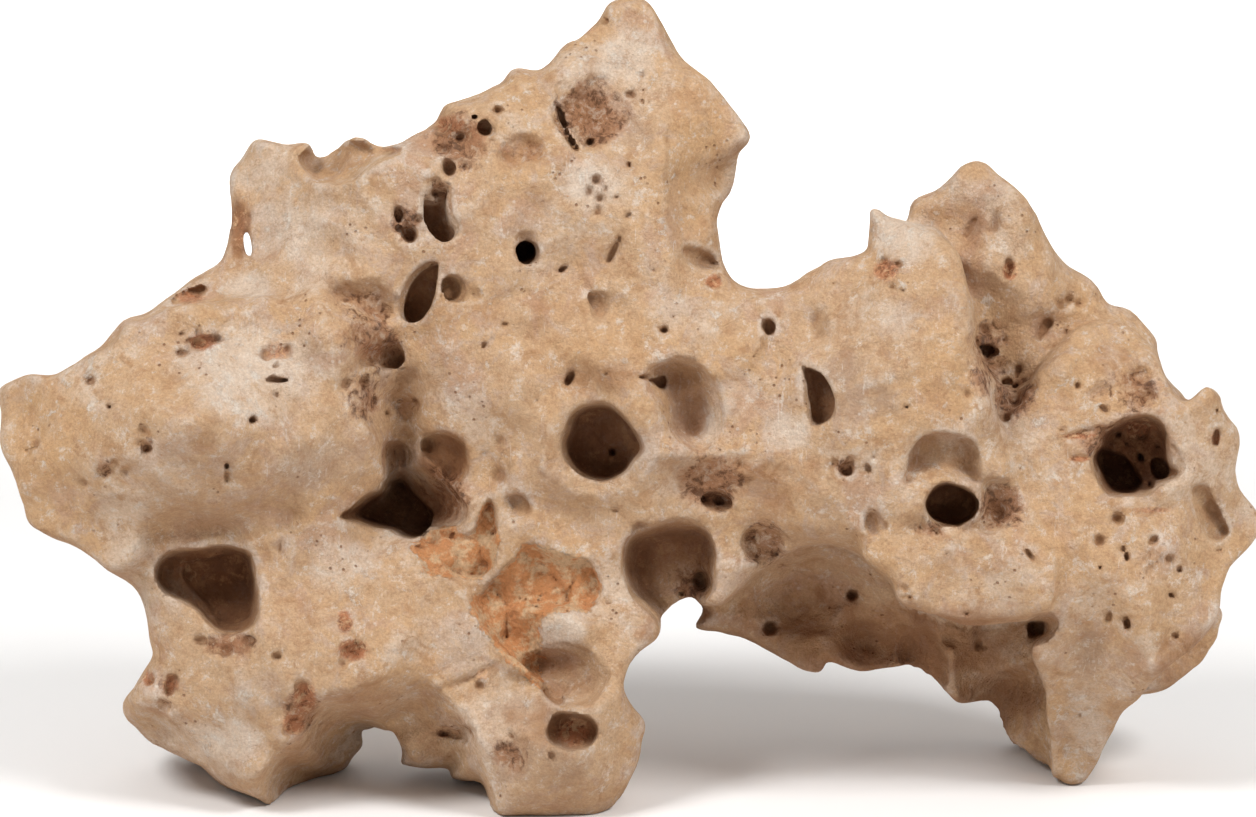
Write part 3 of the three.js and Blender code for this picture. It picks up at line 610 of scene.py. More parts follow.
# Greyer zones: partly the stone's own grey tone, partly painted shade, as on the lobe's lower right and in
# the recess over the left window.
GREYER_AND_SHADED = [
    (520, 715, 44, 30, 0.9), (610, 750, 30, 40, 0.6), (890, 330, 50, 40, 0.4), (540, 500, 60, 50, 0.4),
    (545, 750, 70, 50, 0.9), (480, 760, 20, 24, 0.5), (150, 740, 50, 24, 0.8), (220, 770, 40, 24, 0.7),
    (320, 465, 60, 36, 0.9), (860, 390, 60, 50, 0.8), (1085, 652, 28, 30, 0.9), (510, 757, 28, 18, 1),
    (690, 410, 30, 36, 0.7), (640, 135, 22, 18, 0.8), (170, 480, 60, 40, 0.4), (520, 330, 20, 20, 0.5),
    (205, 522, 46, 18, 0.8), (400, 600, 40, 30, 0.3), (1200, 620, 30, 50, 0.4), (660, 560, 30, 40, 0.5),
]
# Browner zones: partly brown stain, partly painted shade, as on the rear wall under the overhang, on the
# left foot's right facet and in the recesses round the lobe cave.
BROWNER_AND_SHADED = [
    (565, 360, 56, 34, 0.5), (775, 482, 56, 34, 0.7), (700, 470, 44, 30, 0.4), (660, 622, 36, 34, 0.5),
    (880, 590, 40, 20, 0.4), (620, 560, 14, 40, 0.4), (920, 690, 60, 30, 0.7), (345, 296, 30, 16, 0.6),
    (410, 400, 18, 30, 0.6), (395, 455, 14, 22, 0.8), (1020, 380, 20, 40, 0.5), (505, 756, 30, 18, 0.4),
    (530, 725, 44, 34, 0.8), (560, 790, 60, 24, 0.4), (120, 526, 50, 14, 0.4), (430, 640, 40, 30, 0.35),
    (1110, 365, 36, 30, 0.5), (1020, 350, 30, 50, 0.6), (1135, 440, 50, 30, 0.9), (890, 330, 40, 30, 0.25),
    (740, 400, 30, 40, 0.25), (366, 340, 34, 42, 0.55), (605, 376, 52, 22, 0.8), (345, 166, 40, 14, 0.3),
    (240, 228, 12, 34, 1.4), (940, 212, 20, 26, 0.6), (980, 270, 20, 34, 0.5), (428, 500, 32, 28, 1.1),
    (445, 460, 28, 30, 1.5), (398, 460, 18, 22, 0.6), (690, 390, 26, 34, 0.4), (290, 765, 30, 34, 0.4),
    (200, 570, 44, 26, 0.8), (385, 352, 22, 18, 0.8), (402, 400, 30, 60, 0.35), (372, 300, 44, 26, 0.45),
    (545, 318, 60, 26, 0.5), (520, 152, 34, 22, 0.8), (705, 482, 44, 36, 0.9), (1015, 350, 34, 60, 0.5),
    (205, 526, 44, 16, 0.6), (440, 490, 32, 52, 0.9), (600, 112, 36, 40, 0.8), (465, 140, 34, 36, 0.7),
    (590, 385, 40, 16, 0.6), (310, 755, 40, 50, 0.5), (370, 700, 40, 30, 0.6), (430, 730, 40, 40, 0.6),
    (975, 230, 24, 30, 0.6), (1000, 505, 26, 28, 0.5), (900, 645, 190, 52, 1), (922, 658, 28, 34, 1.6),
    (1010, 695, 40, 34, 1.1), (990, 700, 60, 50, 0.9), (780, 610, 90, 50, 0.6), (1185, 665, 40, 40, 0.8),
    (670, 565, 50, 50, 0.5), (945, 458, 44, 26, 0.3), (1208, 512, 14, 26, 0.7), (1050, 330, 30, 26, 0.5),
    (690, 100, 24, 20, 0.3),
]

# How softly the ground cuts the stone, and how softly one mass runs into the next.
GROUND_SOFTNESS = 1.0
JOIN_SOFTNESS = 2.5

# All chance comes from here and is the same at every run.
SEED = 4127
rng = np.random.default_rng(SEED)

# Chance values at the nodes of a noise reach so far that the smoothed noise lies within about 1.
NOISE_REACH = 2.2

# Where a noise is nearer to zero than these, scallops have their ridges and grooves are cut.
SCALLOP_LEVEL = 0.45
GROOVE_LEVEL = 0.5

u_axis, depth_axis, v_axis = (
    np.arange(low, high, STEP, dtype=np.float32) for low, high in zip(LOWEST, HIGHEST)
)
SHAPE = (len(u_axis), len(depth_axis), len(v_axis))
U_MAP, V_MAP = np.broadcast_arrays(u_axis[:, None], v_axis[None, :])


def soft_max(a, b, softness):
    """The larger of two values, with a rounded bend where they nearly meet."""
    overlap = np.maximum(softness - np.abs(a - b), 0) / softness
    return np.maximum(a, b) + overlap * overlap * softness / 4


def soft_min(a, b, softness):
    """The smaller of two values, bent in the same way."""
    return -soft_max(-a, -b, softness)


def on_front_plane(points):
    """Pixels of the photo as millimetres on the front plane."""
    points = np.array(points, dtype=np.float32)
    return np.stack([points[..., 0], PHOTO_HEIGHT - points[..., 1]], axis=-1) * PIXEL


def smooth_outline(points, parts=4):
    """A closed curve through the outline's points."""
    points = np.array(points, dtype=np.float32)
    before, after, beyond = (np.roll(points, -k, axis=0) for k in (-1, 1, 2))
    t = np.linspace(0, 1, parts, endpoint=False, dtype=np.float32)[:, None, None]
    curve = 0.5 * (
        2 * points
        + (after - before) * t
        + (2 * before - 5 * points + 4 * after - beyond) * t ** 2
        + (3 * points - before - 3 * after + beyond) * t ** 3
    )
    return curve.transpose(1, 0, 2).reshape(-1, 2)


def away_from(starts, ends, u, v):
    """The distance from each point (u, v) to the nearest of some straight lines."""
    nearest = np.full(u.shape, np.inf, dtype=np.float32)
    for (u1, v1), (u2, v2) in zip(starts, ends):
        du, dv = u2 - u1, v2 - v1
        t = np.clip(((u - u1) * du + (v - v1) * dv) / (du * du + dv * dv), 0, 1)
        nearest = np.minimum(nearest, np.hypot(u - u1 - t * du, v - v1 - t * dv))
    return nearest


def inside_by(outline, u, v):
    """How far each point (u, v) lies inside an outline, negative outside it."""
    starts = smooth_outline(outline)
    ends = np.roll(starts, -1, axis=0)
    inside = np.zeros(u.shape, dtype=bool)
    for (u1, v1), (u2, v2) in zip(starts, ends):
        if v1 != v2:
            inside ^= ((v1 > v) != (v2 > v)) & (u < u1 + (v - v1) / (v2 - v1) * (u2 - u1))
    nearest = away_from(starts, ends, u, v)
    return np.where(inside, nearest, -nearest)


def swell_sum(swells):
    """How far some swells together stand out, over the front plane."""
    total = np.zeros(U_MAP.shape, dtype=np.float32)
    for u, v, half_width, half_height, out in swells:
        total += out * np.exp(-((U_MAP - u) / half_width) ** 2 - ((V_MAP - v) / half_height) ** 2)
    return total


def spline_weights(count, wavelength):
    """Rows of cubic weights that spread a coarse line of values smoothly over a fine one."""
    place = np.arange(count) * STEP / wavelength
    node = np.floor(place).astype(int)
    t = place - node
    weights = np.zeros((count, node[-1] + 4), dtype=np.float32)
    cubic = ((1 - t) ** 3, 3 * t ** 3 - 6 * t ** 2 + 4, -3 * t ** 3 + 3 * t ** 2 + 3 * t + 1, t ** 3)
    for k, weight in enumerate(cubic):
        weights[np.arange(count), node + k] = weight / 6
    return weights


def noise(wavelength, axes=(0, 1, 2)):
    """Smooth noise between about -1 and 1 over the block of space, or over two of its axes."""
    sides = [spline_weights(SHAPE[axis], wavelength) for axis in axes]
    values = rng.uniform(-NOISE_REACH, NOISE_REACH, [side.shape[1] for side in sides]).astype(np.float32)
    for k, side in enumerate(sides):
        values = np.moveaxis(np.tensordot(side, values, (1, k)), 0, k)
    return values


def flat_noise(wavelength):
    """Noise over the front plane."""
    return noise(wavelength, (0, 2))


def scallops(wavelength):
    """Rounded dents between sharp ridges, over the front plane."""
    return SCALLOP_LEVEL - np.abs(flat_noise(wavelength))


def pocks(wavelength):
    """Rounded dents alone."""
    return np.minimum(scallops(wavelength), 0)


def bites(wavelength):
    """Broad hollows at chance places in space."""
    return np.maximum(noise(wavelength), 0)


def grooves(wavelength):
    """Winding furrows in space."""
    return np.maximum(GROOVE_LEVEL - np.abs(noise(wavelength)), 0)


# Unevenness: the kind of noise, its wavelength and its height in millimetres.
OUTLINE_WAVES = [(flat_noise, 6, 0.35), (flat_noise, 3, 0.2)]
FACE_WAVES = [(flat_noise, 27, 1.4), (flat_noise, 14, 1.2), (scallops, 19, 2.6), (scallops, 9, 1.6)]
FINE_FACE_WAVES = [(flat_noise, 5, 0.4), (pocks, 6, 0.9)]
BACK_WAVES = [(flat_noise, 38, 4.5), (flat_noise, 15, 2.0)]
BACK_SCALLOPS = [(scallops, 24, 2.6), (scallops, 11, 1.4)]
WEAR = [(bites, 26, 7), (bites, 13, 2.5), (grooves, 17, 2)]
STONE_WAVES = [(noise, 7, 0.4), (noise, 3.5, 0.25)]
HOLLOW_WAVES = [(noise, 7, 0.8), (noise, 3.5, 0.6), (noise, 2.2, 0.3)]
WANDERING = [(flat_noise, 9, 0.9), (flat_noise, 4.5, 0.45)]


def with_waves(surface, waves):
    """A surface, or a field in space, with some unevenness added."""
    for kind, wavelength, height in waves:
        surface = surface + height * kind(wavelength)
    return surface


# What wanders is shifted along the front plane by shares of these, so that no line is ruled.
WARP_U = with_waves(0, WANDERING)
WARP_V = with_waves(0, WANDERING)
FALL_WANDER = 0.6
LINE_WANDER = 0.8
MOUTH_WANDER = 0.45
CLAY_WANDER = 1.5
SMALL_WANDER = 0.6
PIT_WANDER = 0.3
REST_WANDER = 1.5

# How far a ridge's fall goes on past its two ends.
FALL_END = 5


def fall_below(start, end, slope, reach):
    """How far the face falls away on the right of a ridge."""
    (u1, v1), (u2, v2) = on_front_plane([start, end])
    length = math.hypot(u2 - u1, v2 - v1)
    along_u, along_v = (u2 - u1) / length, (v2 - v1) / length
    u, v = U_MAP + FALL_WANDER * WARP_U - u1, V_MAP + FALL_WANDER * WARP_V - v1
    along = u * along_u + v * along_v
    right = np.maximum(u * along_v - v * along_u, 0)
    beyond = np.maximum(np.maximum(-along, along - length), 0)
    return slope * right * np.exp(-(right / reach) ** 2 - (beyond / FALL_END) ** 2)


def face_relief():
    """How far the front stands out beyond its broad form, over the front plane."""
    out = with_waves(0, FACE_WAVES)
    out += with_waves(0, FINE_FACE_WAVES)
    for x, y, half_width, half_height, rise in FACE_SWELLS:
        u, v = on_front_plane((x, y))
        out += swell_sum([(u, v, half_width * PIXEL, half_height * PIXEL, rise)])
    for points, half_width, rise in FACE_LINES:
        line = on_front_plane(points)
        away = away_from(line[:-1], line[1:], U_MAP + LINE_WANDER * WARP_U, V_MAP + LINE_WANDER * WARP_V)
        out += rise * np.exp(-away / half_width if rise > 0 else -(away / half_width) ** 2)
    for fall in FALLS:
        out -= fall_below(*fall)
    return out


def sloped(surface, side):
    """Distance beyond a surface over (u, v), on its back side or its front side."""
    slope_u, slope_v = np.gradient(surface, STEP)
    steepness = np.sqrt(1 + slope_u ** 2 + slope_v ** 2)
    return side * (depth_axis[None, :, None] - surface[:, None, :]) / steepness[:, None, :]


# How the worn front edge's width varies, as shares of the mass's own, and over which wavelength.
EDGE_WAVELENGTH = 30
MEAN_EDGE = 0.45
EDGE_SWING = 0.45
SHARP_EDGE = 0.22
FULL_EDGE = 1.0
CRISPEST_EDGE = 0.12

# The wear starts this far behind the front edge, so that the front outline stays, and grows to
# its full depth over the next stretch.
WEAR_START = 4
WEAR_GROWTH = 25

# The back edge is this much wider than the front edge. A share of that width is always there.
BACK_ROUNDING = 30
STEADY_BACK = 0.4
VARIED_BACK = 0.6


def mass_field(mass, relief, wear):
    """Distance outside one mass of stone, negative in it."""
    inside = with_waves(inside_by(mass["outline"], U_MAP, V_MAP), OUTLINE_WAVES)
    front = mass["front"] - swell_sum(mass["front_swells"]) - relief
    back = with_waves(mass["back"] + swell_sum(mass["back_swells"]), BACK_WAVES)
    back += with_waves(0, BACK_SCALLOPS)
    worn = np.clip(MEAN_EDGE + EDGE_SWING * flat_noise(EDGE_WAVELENGTH), SHARP_EDGE, FULL_EDGE)
    worn = np.maximum(worn * (1 - swell_sum(CRISP_PLACES)), CRISPEST_EDGE)[:, None, :]
    field = soft_max(-inside[:, None, :], sloped(front, -1), mass["edge"] * worn)
    behind = depth_axis[None, :, None] - front[:, None, :] - mass["edge"] - WEAR_START
    field += np.clip(behind / WEAR_GROWTH, 0, 1) * wear
    rounding = mass.get("back_edge", BACK_ROUNDING + mass["edge"])
    return soft_max(field, sloped(back, 1), rounding * (STEADY_BACK + VARIED_BACK * worn))


def stone_field():
    """Distance outside all the masses grown together, before any hollow."""
    relief = face_relief()
    wear = with_waves(0, WEAR)
    field = None
    for mass in MASSES.values():
        one = mass_field(mass, relief, wear)
        field = one if field is None else soft_min(field, one, mass.get("join", JOIN_SOFTNESS))
    return with_waves(field, STONE_WAVES)


# The depth that stands for no stone on a sight line.
NO_STONE = 40


def face_of(field):
    """The depth of the first stone on each sight line."""
    inside = field < 0
    first = inside.argmax(axis=1)
    found = np.take_along_axis(inside, first[:, None, :], axis=1)[:, 0, :]
    here = np.take_along_axis(field, first[:, None, :], axis=1)[:, 0, :]
    ahead = np.take_along_axis(field, np.maximum(first - 1, 0)[:, None, :], axis=1)[:, 0, :]
    part = np.clip(here / np.where(here - ahead == 0, -1, here - ahead), 0, 1)
    return np.where(found, depth_axis[first] - STEP * part, NO_STONE).astype(np.float32)


def face_at(face, u, v):
    """The depth of the face at one place of the front plane."""
    return float(face[round((u - LOWEST[0]) / STEP), round((v - LOWEST[2]) / STEP)])


def block_round(low, high):
    """The slices of the block between two corners, and the coordinates in them."""
    slices, coordinates = [], []
    for axis, line in enumerate((u_axis, depth_axis, v_axis)):
        start = max(int((low[axis] - LOWEST[axis]) / STEP), 0)
        end = min(int((high[axis] - LOWEST[axis]) / STEP) + 2, SHAPE[axis])
        slices.append(slice(start, max(end, start)))
        coordinates.append(line[slices[-1]])
    u, depth, v = coordinates
    return tuple(slices), u[:, None, None], depth[None, :, None], v[None, None, :]


# Room left round a hollow where its rim is blended.
MARGIN = 5

# Keeps the middle of a rounded hollow from a division by zero.
ALMOST_NOTHING = 1e-6

# Rim widths of the rounded hollows, and a half depth that goes through any stone.
SMALL_RIM = 0.8
SLIT_RIM = 1
OTHER_RIM = 2
PIT_RIM = 0.6
RIGHT_THROUGH = 400

# The rim of a drawn hollow is wide on a bowl and narrows as the sides get steeper.
BOWL_RIM = 4.4
RIM_LOSS = 2.2
SHARPEST_RIM = 0.4

# How softly a drawn hollow's wall meets its floor, and how rough each of them is.
WALL_SOFTNESS = 1.0
WALL_ROUGHNESS = 0.3
FLOOR_ROUGHNESS = 1.2


def carve_ball(field, centre, half_sizes, turn, rim, wander=0.0):
    """Takes a rounded hollow out of the stone. Its turn is in the front plane."""
    far = max(half_sizes[0], half_sizes[2]) + MARGIN
    reach = np.array([far, half_sizes[1] + MARGIN, far])
    block, u, depth, v = block_round(centre - reach, centre + reach)
    if min(s.stop - s.start for s in block) < 1:
        return
    angle = math.radians(turn)
    flat = (block[0], block[2])
    du = u - centre[0] + wander * WARP_U[flat][:, None, :]
    dv = v - centre[2] + wander * WARP_V[flat][:, None, :]
    across = du * math.cos(angle) + dv * math.sin(angle)
    up = dv * math.cos(angle) - du * math.sin(angle)
    parts = (across, depth - centre[1], up)
    near = np.sqrt(sum((part / half) ** 2 for part, half in zip(parts, half_sizes)))
    steep = np.sqrt(sum((part / half ** 2) ** 2 for part, half in zip(parts, half_sizes)))
    outside = near * (near - 1) / np.maximum(steep, ALMOST_NOTHING)
    field[block] = soft_max(field[block], -outside, rim)


def carve_drawn(field, face, rough, mouth, deep, steep, *lean):
    """Takes out a hollow with a drawn mouth, a bowl or a pit, that may lean to one side."""
    outline = on_front_plane(mouth)
    margin = MARGIN + deep * max(abs(side) for side in lean)
    low, high = outline.min(axis=0) - margin, outline.max(axis=0) + margin
    block, _, depth, _ = block_round((low[0], LOWEST[1], low[1]), (high[0], HIGHEST[1], high[1]))
    flat = (block[0], block[2])
    warped = (plane[flat] + MOUTH_WANDER * warp[flat] for plane, warp in ((U_MAP, WARP_U), (V_MAP, WARP_V)))
    inside = inside_by(outline, *warped)
    level = np.median(face[flat][inside > 0])
    layers = []
    for below in np.clip(depth[0, :, 0] - level, 0, deep):
        steps = [round(side * below / STEP) for side in lean]
        layers.append(np.roll(inside, steps, axis=(0, 1)))
    width = inside.max()
    inside = np.stack(layers, axis=1) + WALL_ROUGHNESS * rough[block]
    near = np.clip(inside * steep / width, 0, 1)
    floor = face[flat][:, None, :] + deep * (1 - (1 - near) ** 2) + FLOOR_ROUGHNESS * rough[block]
    steepness = np.sqrt(1 + (deep * steep / width * (1 - near)) ** 2)
    hollow = soft_max(-inside, (depth - floor) / steepness, WALL_SOFTNESS)
    field[block] = soft_max(field[block], -hollow, max(SHARPEST_RIM, BOWL_RIM - RIM_LOSS * steep))


def carve_front(field, face, rough):
    """Takes out the hollows of the front."""
    for shape in DRAWN_HOLLOWS.values():
        carve_drawn(field, face, rough, *shape)
    for x, y, half_width, half_height, deep, turn in SMALL_HOLLOWS:
        u, v = on_front_plane((x, y))
        half_sizes = (half_width * PIXEL, deep, half_height * PIXEL)
        centre = np.array([u, face_at(face, u, v), v])
        carve_ball(field, centre, half_sizes, turn, SMALL_RIM, SMALL_WANDER)
    at_u, at_v, half_width, half_height, turn = SHOULDER_SLIT
    carve_ball(field, np.array([at_u, 0, at_v]), (half_width, RIGHT_THROUGH, half_height), turn, SLIT_RIM)


# A depth seen from behind is this, less the depth in the block turned back to front.
BOTH_ENDS = depth_axis[0] + depth_axis[-1]


def carve_rest(field):
    """Takes out the hollows of the back, the top, the ends and the underside."""
    turned = face_of(field[:, ::-1, :])
    for u, v, half_width, half_height, deep, turn, rim in BACK_HOLLOWS:
        start = BOTH_ENDS - face_at(turned, u, v)
        carve_ball(field, np.array([u, start, v]), (half_width, deep, half_height), turn, rim, REST_WANDER)
    for u, depth, v, *half_sizes in OTHER_HOLLOWS:
        carve_ball(field, np.array([u, depth, v]), half_sizes, 0, OTHER_RIM, REST_WANDER)


# Crumbs go this deep below the face and fade out over its last stretch.
CRUMBLE_DEPTH = 16
CRUMBLE_FADE = 6

# The crumbs' wavelengths, and the cracks' wavelength, width and depth.
COARSE_CRUMB = 6
FINE_CRUMB = 3
CRACK_SPACING = 5
CRACK_WIDTH = 0.2
CRACK_DEPTH = 9

# The clay reaches its full strength this far inside its bed, and has this much of it at the line.
CLAY_GROWTH = 2
CLAY_AT_LINE = 0.4

# Heights in millimetres: the clay's coarse crumbs, fine crumbs and cracks, and how far the crust is
# eaten away, its coarse crumbs and its fine crumbs.
CLAY_CRUMBS = (1.8, 1.1, 0.8)
CRUST_CRUMBS = (0.5, 0.9, 1.0)


def crumble(field, face, clay):
    """Breaks up the faces of the clay and of the crusted stone."""
    below = depth_axis[None, :, None] - face[:, None, :]
    near = np.clip((CRUMBLE_DEPTH - below) / CRUMBLE_FADE, 0, 1)
    bed = np.clip(clay / CLAY_GROWTH + CLAY_AT_LINE, 0, 1)[:, None, :]
    crust = zone_strength(CRUST, U_MAP, V_MAP)[:, None, :].astype(np.float32)
    coarse, fine = noise(COARSE_CRUMB), noise(FINE_CRUMB)
    cracks = np.maximum(CRACK_WIDTH - np.abs(noise(CRACK_SPACING)), 0) * CRACK_DEPTH
    clay_coarse, clay_fine, clay_cracks = CLAY_CRUMBS
    field += near * bed * (clay_coarse * coarse + clay_fine * fine + clay_cracks * cracks)
    eaten, crust_coarse, crust_fine = CRUST_CRUMBS
    field += near * crust * (eaten + crust_coarse * coarse + crust_fine * fine)


# Chance pits: how many, and the smallest and the largest half size in millimetres.
FACE_PITS = (70, 0.7, 1.8)
CRUST_PITS = (260, 0.7, 1.9)
REAR_PITS = (220, 0.9, 4.5)

# How far pits spread for their zone's size, how far they are stretched, how deep they are for their
# size, and how far from the edges of the front they stay where they have no zone.
PIT_SPREAD = 0.5
PIT_STRETCH = (0.7, 1.4)
PIT_DEPTH = 1.8
EDGE_ROOM = 2


def scatter_pits(field, face, pits, zones=None):
    """Small pits at chance places on the face, or in the given zones, and few large ones."""
    count, low, high = pits
    for _ in range(count):
        if zones:
            x, y, half_width, half_height, _ = zones[rng.integers(len(zones))]
            x_away, y_away = rng.normal(0, PIT_SPREAD), rng.normal(0, PIT_SPREAD)
            u, v = on_front_plane((x + half_width * x_away, y + half_height * y_away))
        else:
            u, v = (rng.uniform(EDGE_ROOM, side - EDGE_ROOM) for side in (FRONT_WIDTH, FRONT_HEIGHT))
        size = low + (high - low) * rng.random() ** 3
        stretch = rng.uniform(*PIT_STRETCH)
        turn = rng.uniform(0, 180)
        if not (0 < u < FRONT_WIDTH and 0 < v < FRONT_HEIGHT):
            continue
        half_sizes = (size * stretch, size * PIT_DEPTH, size / stretch)
        centre = np.array([u, face_at(face, u, v), v])
        carve_ball(field, centre, half_sizes, turn, PIT_RIM, PIT_WANDER)


def eye_geometry():
    """The eye's place and the lift that sets the front toe on the ground."""
    eye = np.array([0, -EYE_DISTANCE * math.cos(EYE_ELEVATION), EYE_DISTANCE * math.sin(EYE_ELEVATION)])
    toe = -FRONT_HEIGHT / 2
    reach = (FRONT_TOE_DEPTH - eye[1]) / (toe * math.sin(EYE_ELEVATION) - eye[1])
    lift = -(eye[2] + reach * (toe * math.cos(EYE_ELEVATION) - eye[2]))
    return eye, lift


EYE, LIFT = eye_geometry()


def to_space(u, depth, v):
    """Carries points of the front plane along the sight lines to their depth."""
    across, up = u - FRONT_WIDTH / 2, v - FRONT_HEIGHT / 2
    reach = (depth - EYE[1]) / (up * math.sin(EYE_ELEVATION) - EYE[1])
    height = EYE[2] + reach * (up * math.cos(EYE_ELEVATION) - EYE[2])
    return reach * across + ORIGIN_SHIFT[0], depth + ORIGIN_SHIFT[1], height + LIFT


def to_front(x, y, z):
    """The reverse of to_space."""
    across, depth, height = x - ORIGIN_SHIFT[0], y - ORIGIN_SHIFT[1], z - LIFT
    towards = (depth - EYE[1]) * math.cos(EYE_ELEVATION) - (height - EYE[2]) * math.sin(EYE_ELEVATION)
    reach = towards / EYE_DISTANCE
    up = ((height - EYE[2]) / reach + EYE[2]) / math.cos(EYE_ELEVATION)
    return across / reach + FRONT_WIDTH / 2, depth, up + FRONT_HEIGHT / 2


def cut_at_ground(field):
    """The stone above the ground that it stands on."""
    _, _, height = to_space(u_axis[:, None, None], depth_axis[None, :, None], v_axis[None, None, :])
    return soft_max(field, -height.astype(np.float32), GROUND_SOFTNESS)


def surface_of(field):
    """The closed surface of a field as vertices in steps of the block, and four-sided faces."""
    inside = field < 0
    corners = list(itertools.product((0, 1), repeat=3))
    cut = [tuple(slice(o, o + n - 1) for o, n in zip(corner, SHAPE)) for corner in corners]
    held = sum(inside[c].astype(np.uint8) for c in cut)
    active = (held > 0) & (held < len(corners))
    cells = np.argwhere(active)
    values = {corner: field[c][active] for corner, c in zip(corners, cut)}
    total = np.zeros((len(cells), 3), dtype=np.float32)
    crossings = np.zeros(len(cells), dtype=np.float32)
    for start, axis in itertools.product(corners, range(3)):
        if start[axis]:
            continue
        end = tuple(1 if k == axis else o for k, o in enumerate(start))
        a, b = values[start], values[end]
        crosses = (a < 0) != (b < 0)
        share = np.where(crosses, a / np.where(crosses, a - b, 1), 0)
        point = np.array(start, dtype=np.float32) + share[:, None] * np.eye(3, dtype=np.float32)[axis]
        total += point * crosses[:, None]
        crossings += crosses
    number = np.full(active.shape, -1, dtype=np.int64)
    number[active] = np.arange(len(cells))
    return cells + total / crossings[:, None], np.concatenate(list(rings_of(inside, number)))


def rings_of(inside, number):
    """The four cells round each step of the block that leaves or enters the stone."""
    for axis in range(3):
        second, third = (axis + 1) % 3, (axis + 2) % 3
        low = [slice(1, n - 1) for n in SHAPE]
        low[axis] = slice(0, SHAPE[axis] - 1)
        high = list(low)
        high[axis] = slice(1, SHAPE[axis])
        leaves = inside[tuple(low)] & ~inside[tuple(high)]
        enters = ~inside[tuple(low)] & inside[tuple(high)]
        for found, order in ((leaves, (0, 1, 2, 3)), (enters, (3, 2, 1, 0))):
            at = np.argwhere(found) + [0 if k == axis else 1 for k in range(3)]
            ring = []
            for back_second, back_third in ((1, 1), (0, 1), (0, 0), (1, 0)):
                cell = at.copy()
                cell[:, second] -= back_second
                cell[:, third] -= back_third
                ring.append(number[tuple(cell.T)])
            yield np.stack([ring[k] for k in order], axis=1)


def sample(volume, places):
    """The volume's values at places given in steps of the block."""
    base = np.clip(np.floor(places).astype(int), 0, np.array(volume.shape) - 2)
    t = places - base
    total = np.zeros(len(places))
    for corner in itertools.product((0, 1), repeat=3):
        weight = np.prod([t[:, k] if o else 1 - t[:, k] for k, o in enumerate(corner)], axis=0)
        total += weight * volume[tuple((base + corner).T)]
    return total


def blurred(volume, radius):
    """The volume averaged over a box of that radius, twice."""
    width = 2 * max(round(radius / STEP / 2), 1) + 1
    for _ in range(2):
        for axis in range(3):
            pad = [(0, 0)] * 3
            pad[axis] = (width // 2 + 1, width // 2)
            sums = np.cumsum(np.pad(volume, pad, mode="edge"), axis=axis, dtype=np.float64)
            later = [slice(None)] * 3
            later[axis] = slice(width, None)
            earlier = [slice(None)] * 3
            earlier[axis] = slice(0, -width)
            volume = ((sums[tuple(later)] - sums[tuple(earlier)]) / width).astype(np.float32)
    return volume


# How quickly a zone's strength falls at its edge.
ZONE_SHARPNESS = 1.5


def zone_strength(zones, u, v):
    """How strongly each point lies in the zones, which are in pixels."""
    total = np.zeros(u.shape)
    for x, y, half_width, half_height, strength in zones:
        at_u, at_v = on_front_plane((x, y))
        away = ((u - at_u) / half_width / PIXEL) ** 2 + ((v - at_v) / half_height / PIXEL) ** 2
        total = np.maximum(total, strength * np.exp(-away ** ZONE_SHARPNESS))
    return total


def make_rock():
    """The whole stone as one closed mesh, with its marks."""
    stone = stone_field()
    face = face_of(stone)
    field = stone.copy()
    rough = with_waves(0, HOLLOW_WAVES)
    u, v = U_MAP + CLAY_WANDER * WARP_U, V_MAP + CLAY_WANDER * WARP_V
    clay = np.maximum.reduce([inside_by(on_front_plane(bed), u, v) for bed in CLAY_BEDS])
    carve_front(field, face, rough)
    crumble(field, face, clay)
    scatter_pits(field, face, FACE_PITS)
    scatter_pits(field, face, CRUST_PITS, CRUST)
    carve_rest(field)
    scatter_pits(field, BOTH_ENDS - face_of(field[:, ::-1, :]), REAR_PITS)
    field = cut_at_ground(field)
    rock = surface_object(field)
    paint_marks(rock.data, stone, field, face, clay)
    return rock


# Faces that meet more sharply than this keep a crisp edge.
CRISP_ANGLE = math.radians(48)


def surface_object(field):
    """The stone's surface as an object at the origin, with its flattest parts thinned out."""
    vertices, faces = surface_of(field)
    x, y, z = to_space(*(vertices * STEP + LOWEST).T)
    mesh = bpy.data.meshes.new("limestone rock")
    mesh.from_pydata((np.stack([x, y, z], axis=1) * MM).tolist(), [], faces.tolist())
    rock = bpy.data.objects.new("limestone_rock", mesh)
    bpy.context.collection.objects.link(rock)
    bpy.context.view_layer.objects.active = rock
    rock.select_set(True)
    bpy.ops.object.modifier_add(type="DECIMATE")
    rock.modifiers[0].ratio = min(1.0, MOST_TRIANGLES / (2 * len(faces)))
    bpy.ops.object.modifier_apply(modifier=rock.modifiers[0].name)
    bpy.ops.object.shade_smooth_by_angle(angle=CRISP_ANGLE)
    return rock


# How much of a place on the surface is stone.
HALF_FULL = 0.5

# Marks: how far into the uncut stone counts as fully buried, the radii over which the three kinds
# of dip are measured, and how far behind the face the marks of the front reach and fade.
BURIED_DEPTH = 25
DIP_RADII = {"small_dip": 2.4, "dip": 6.0, "wide_dip": 16.0}
FRONT_REACH = 34
FRONT_FADE = 10
CLAY_MARK_GROWTH = 3

# Away from the front, chance places take the zones' part. Each kind is rarer by its number.
CHANCE_WAVELENGTH = 30
CHANCE_STRENGTH = 1.7
ZONES = {
    "rust": (RUST, 1.0),
    "crust": (CRUST, 0.8),
    "warm": (WARM, 0.2),
    "pale": (PALER_AND_LIT, 0.3),
    "grey": (GREYER_AND_SHADED, 0.5),
    "brown": (BROWNER_AND_SHADED, 0.5),
}


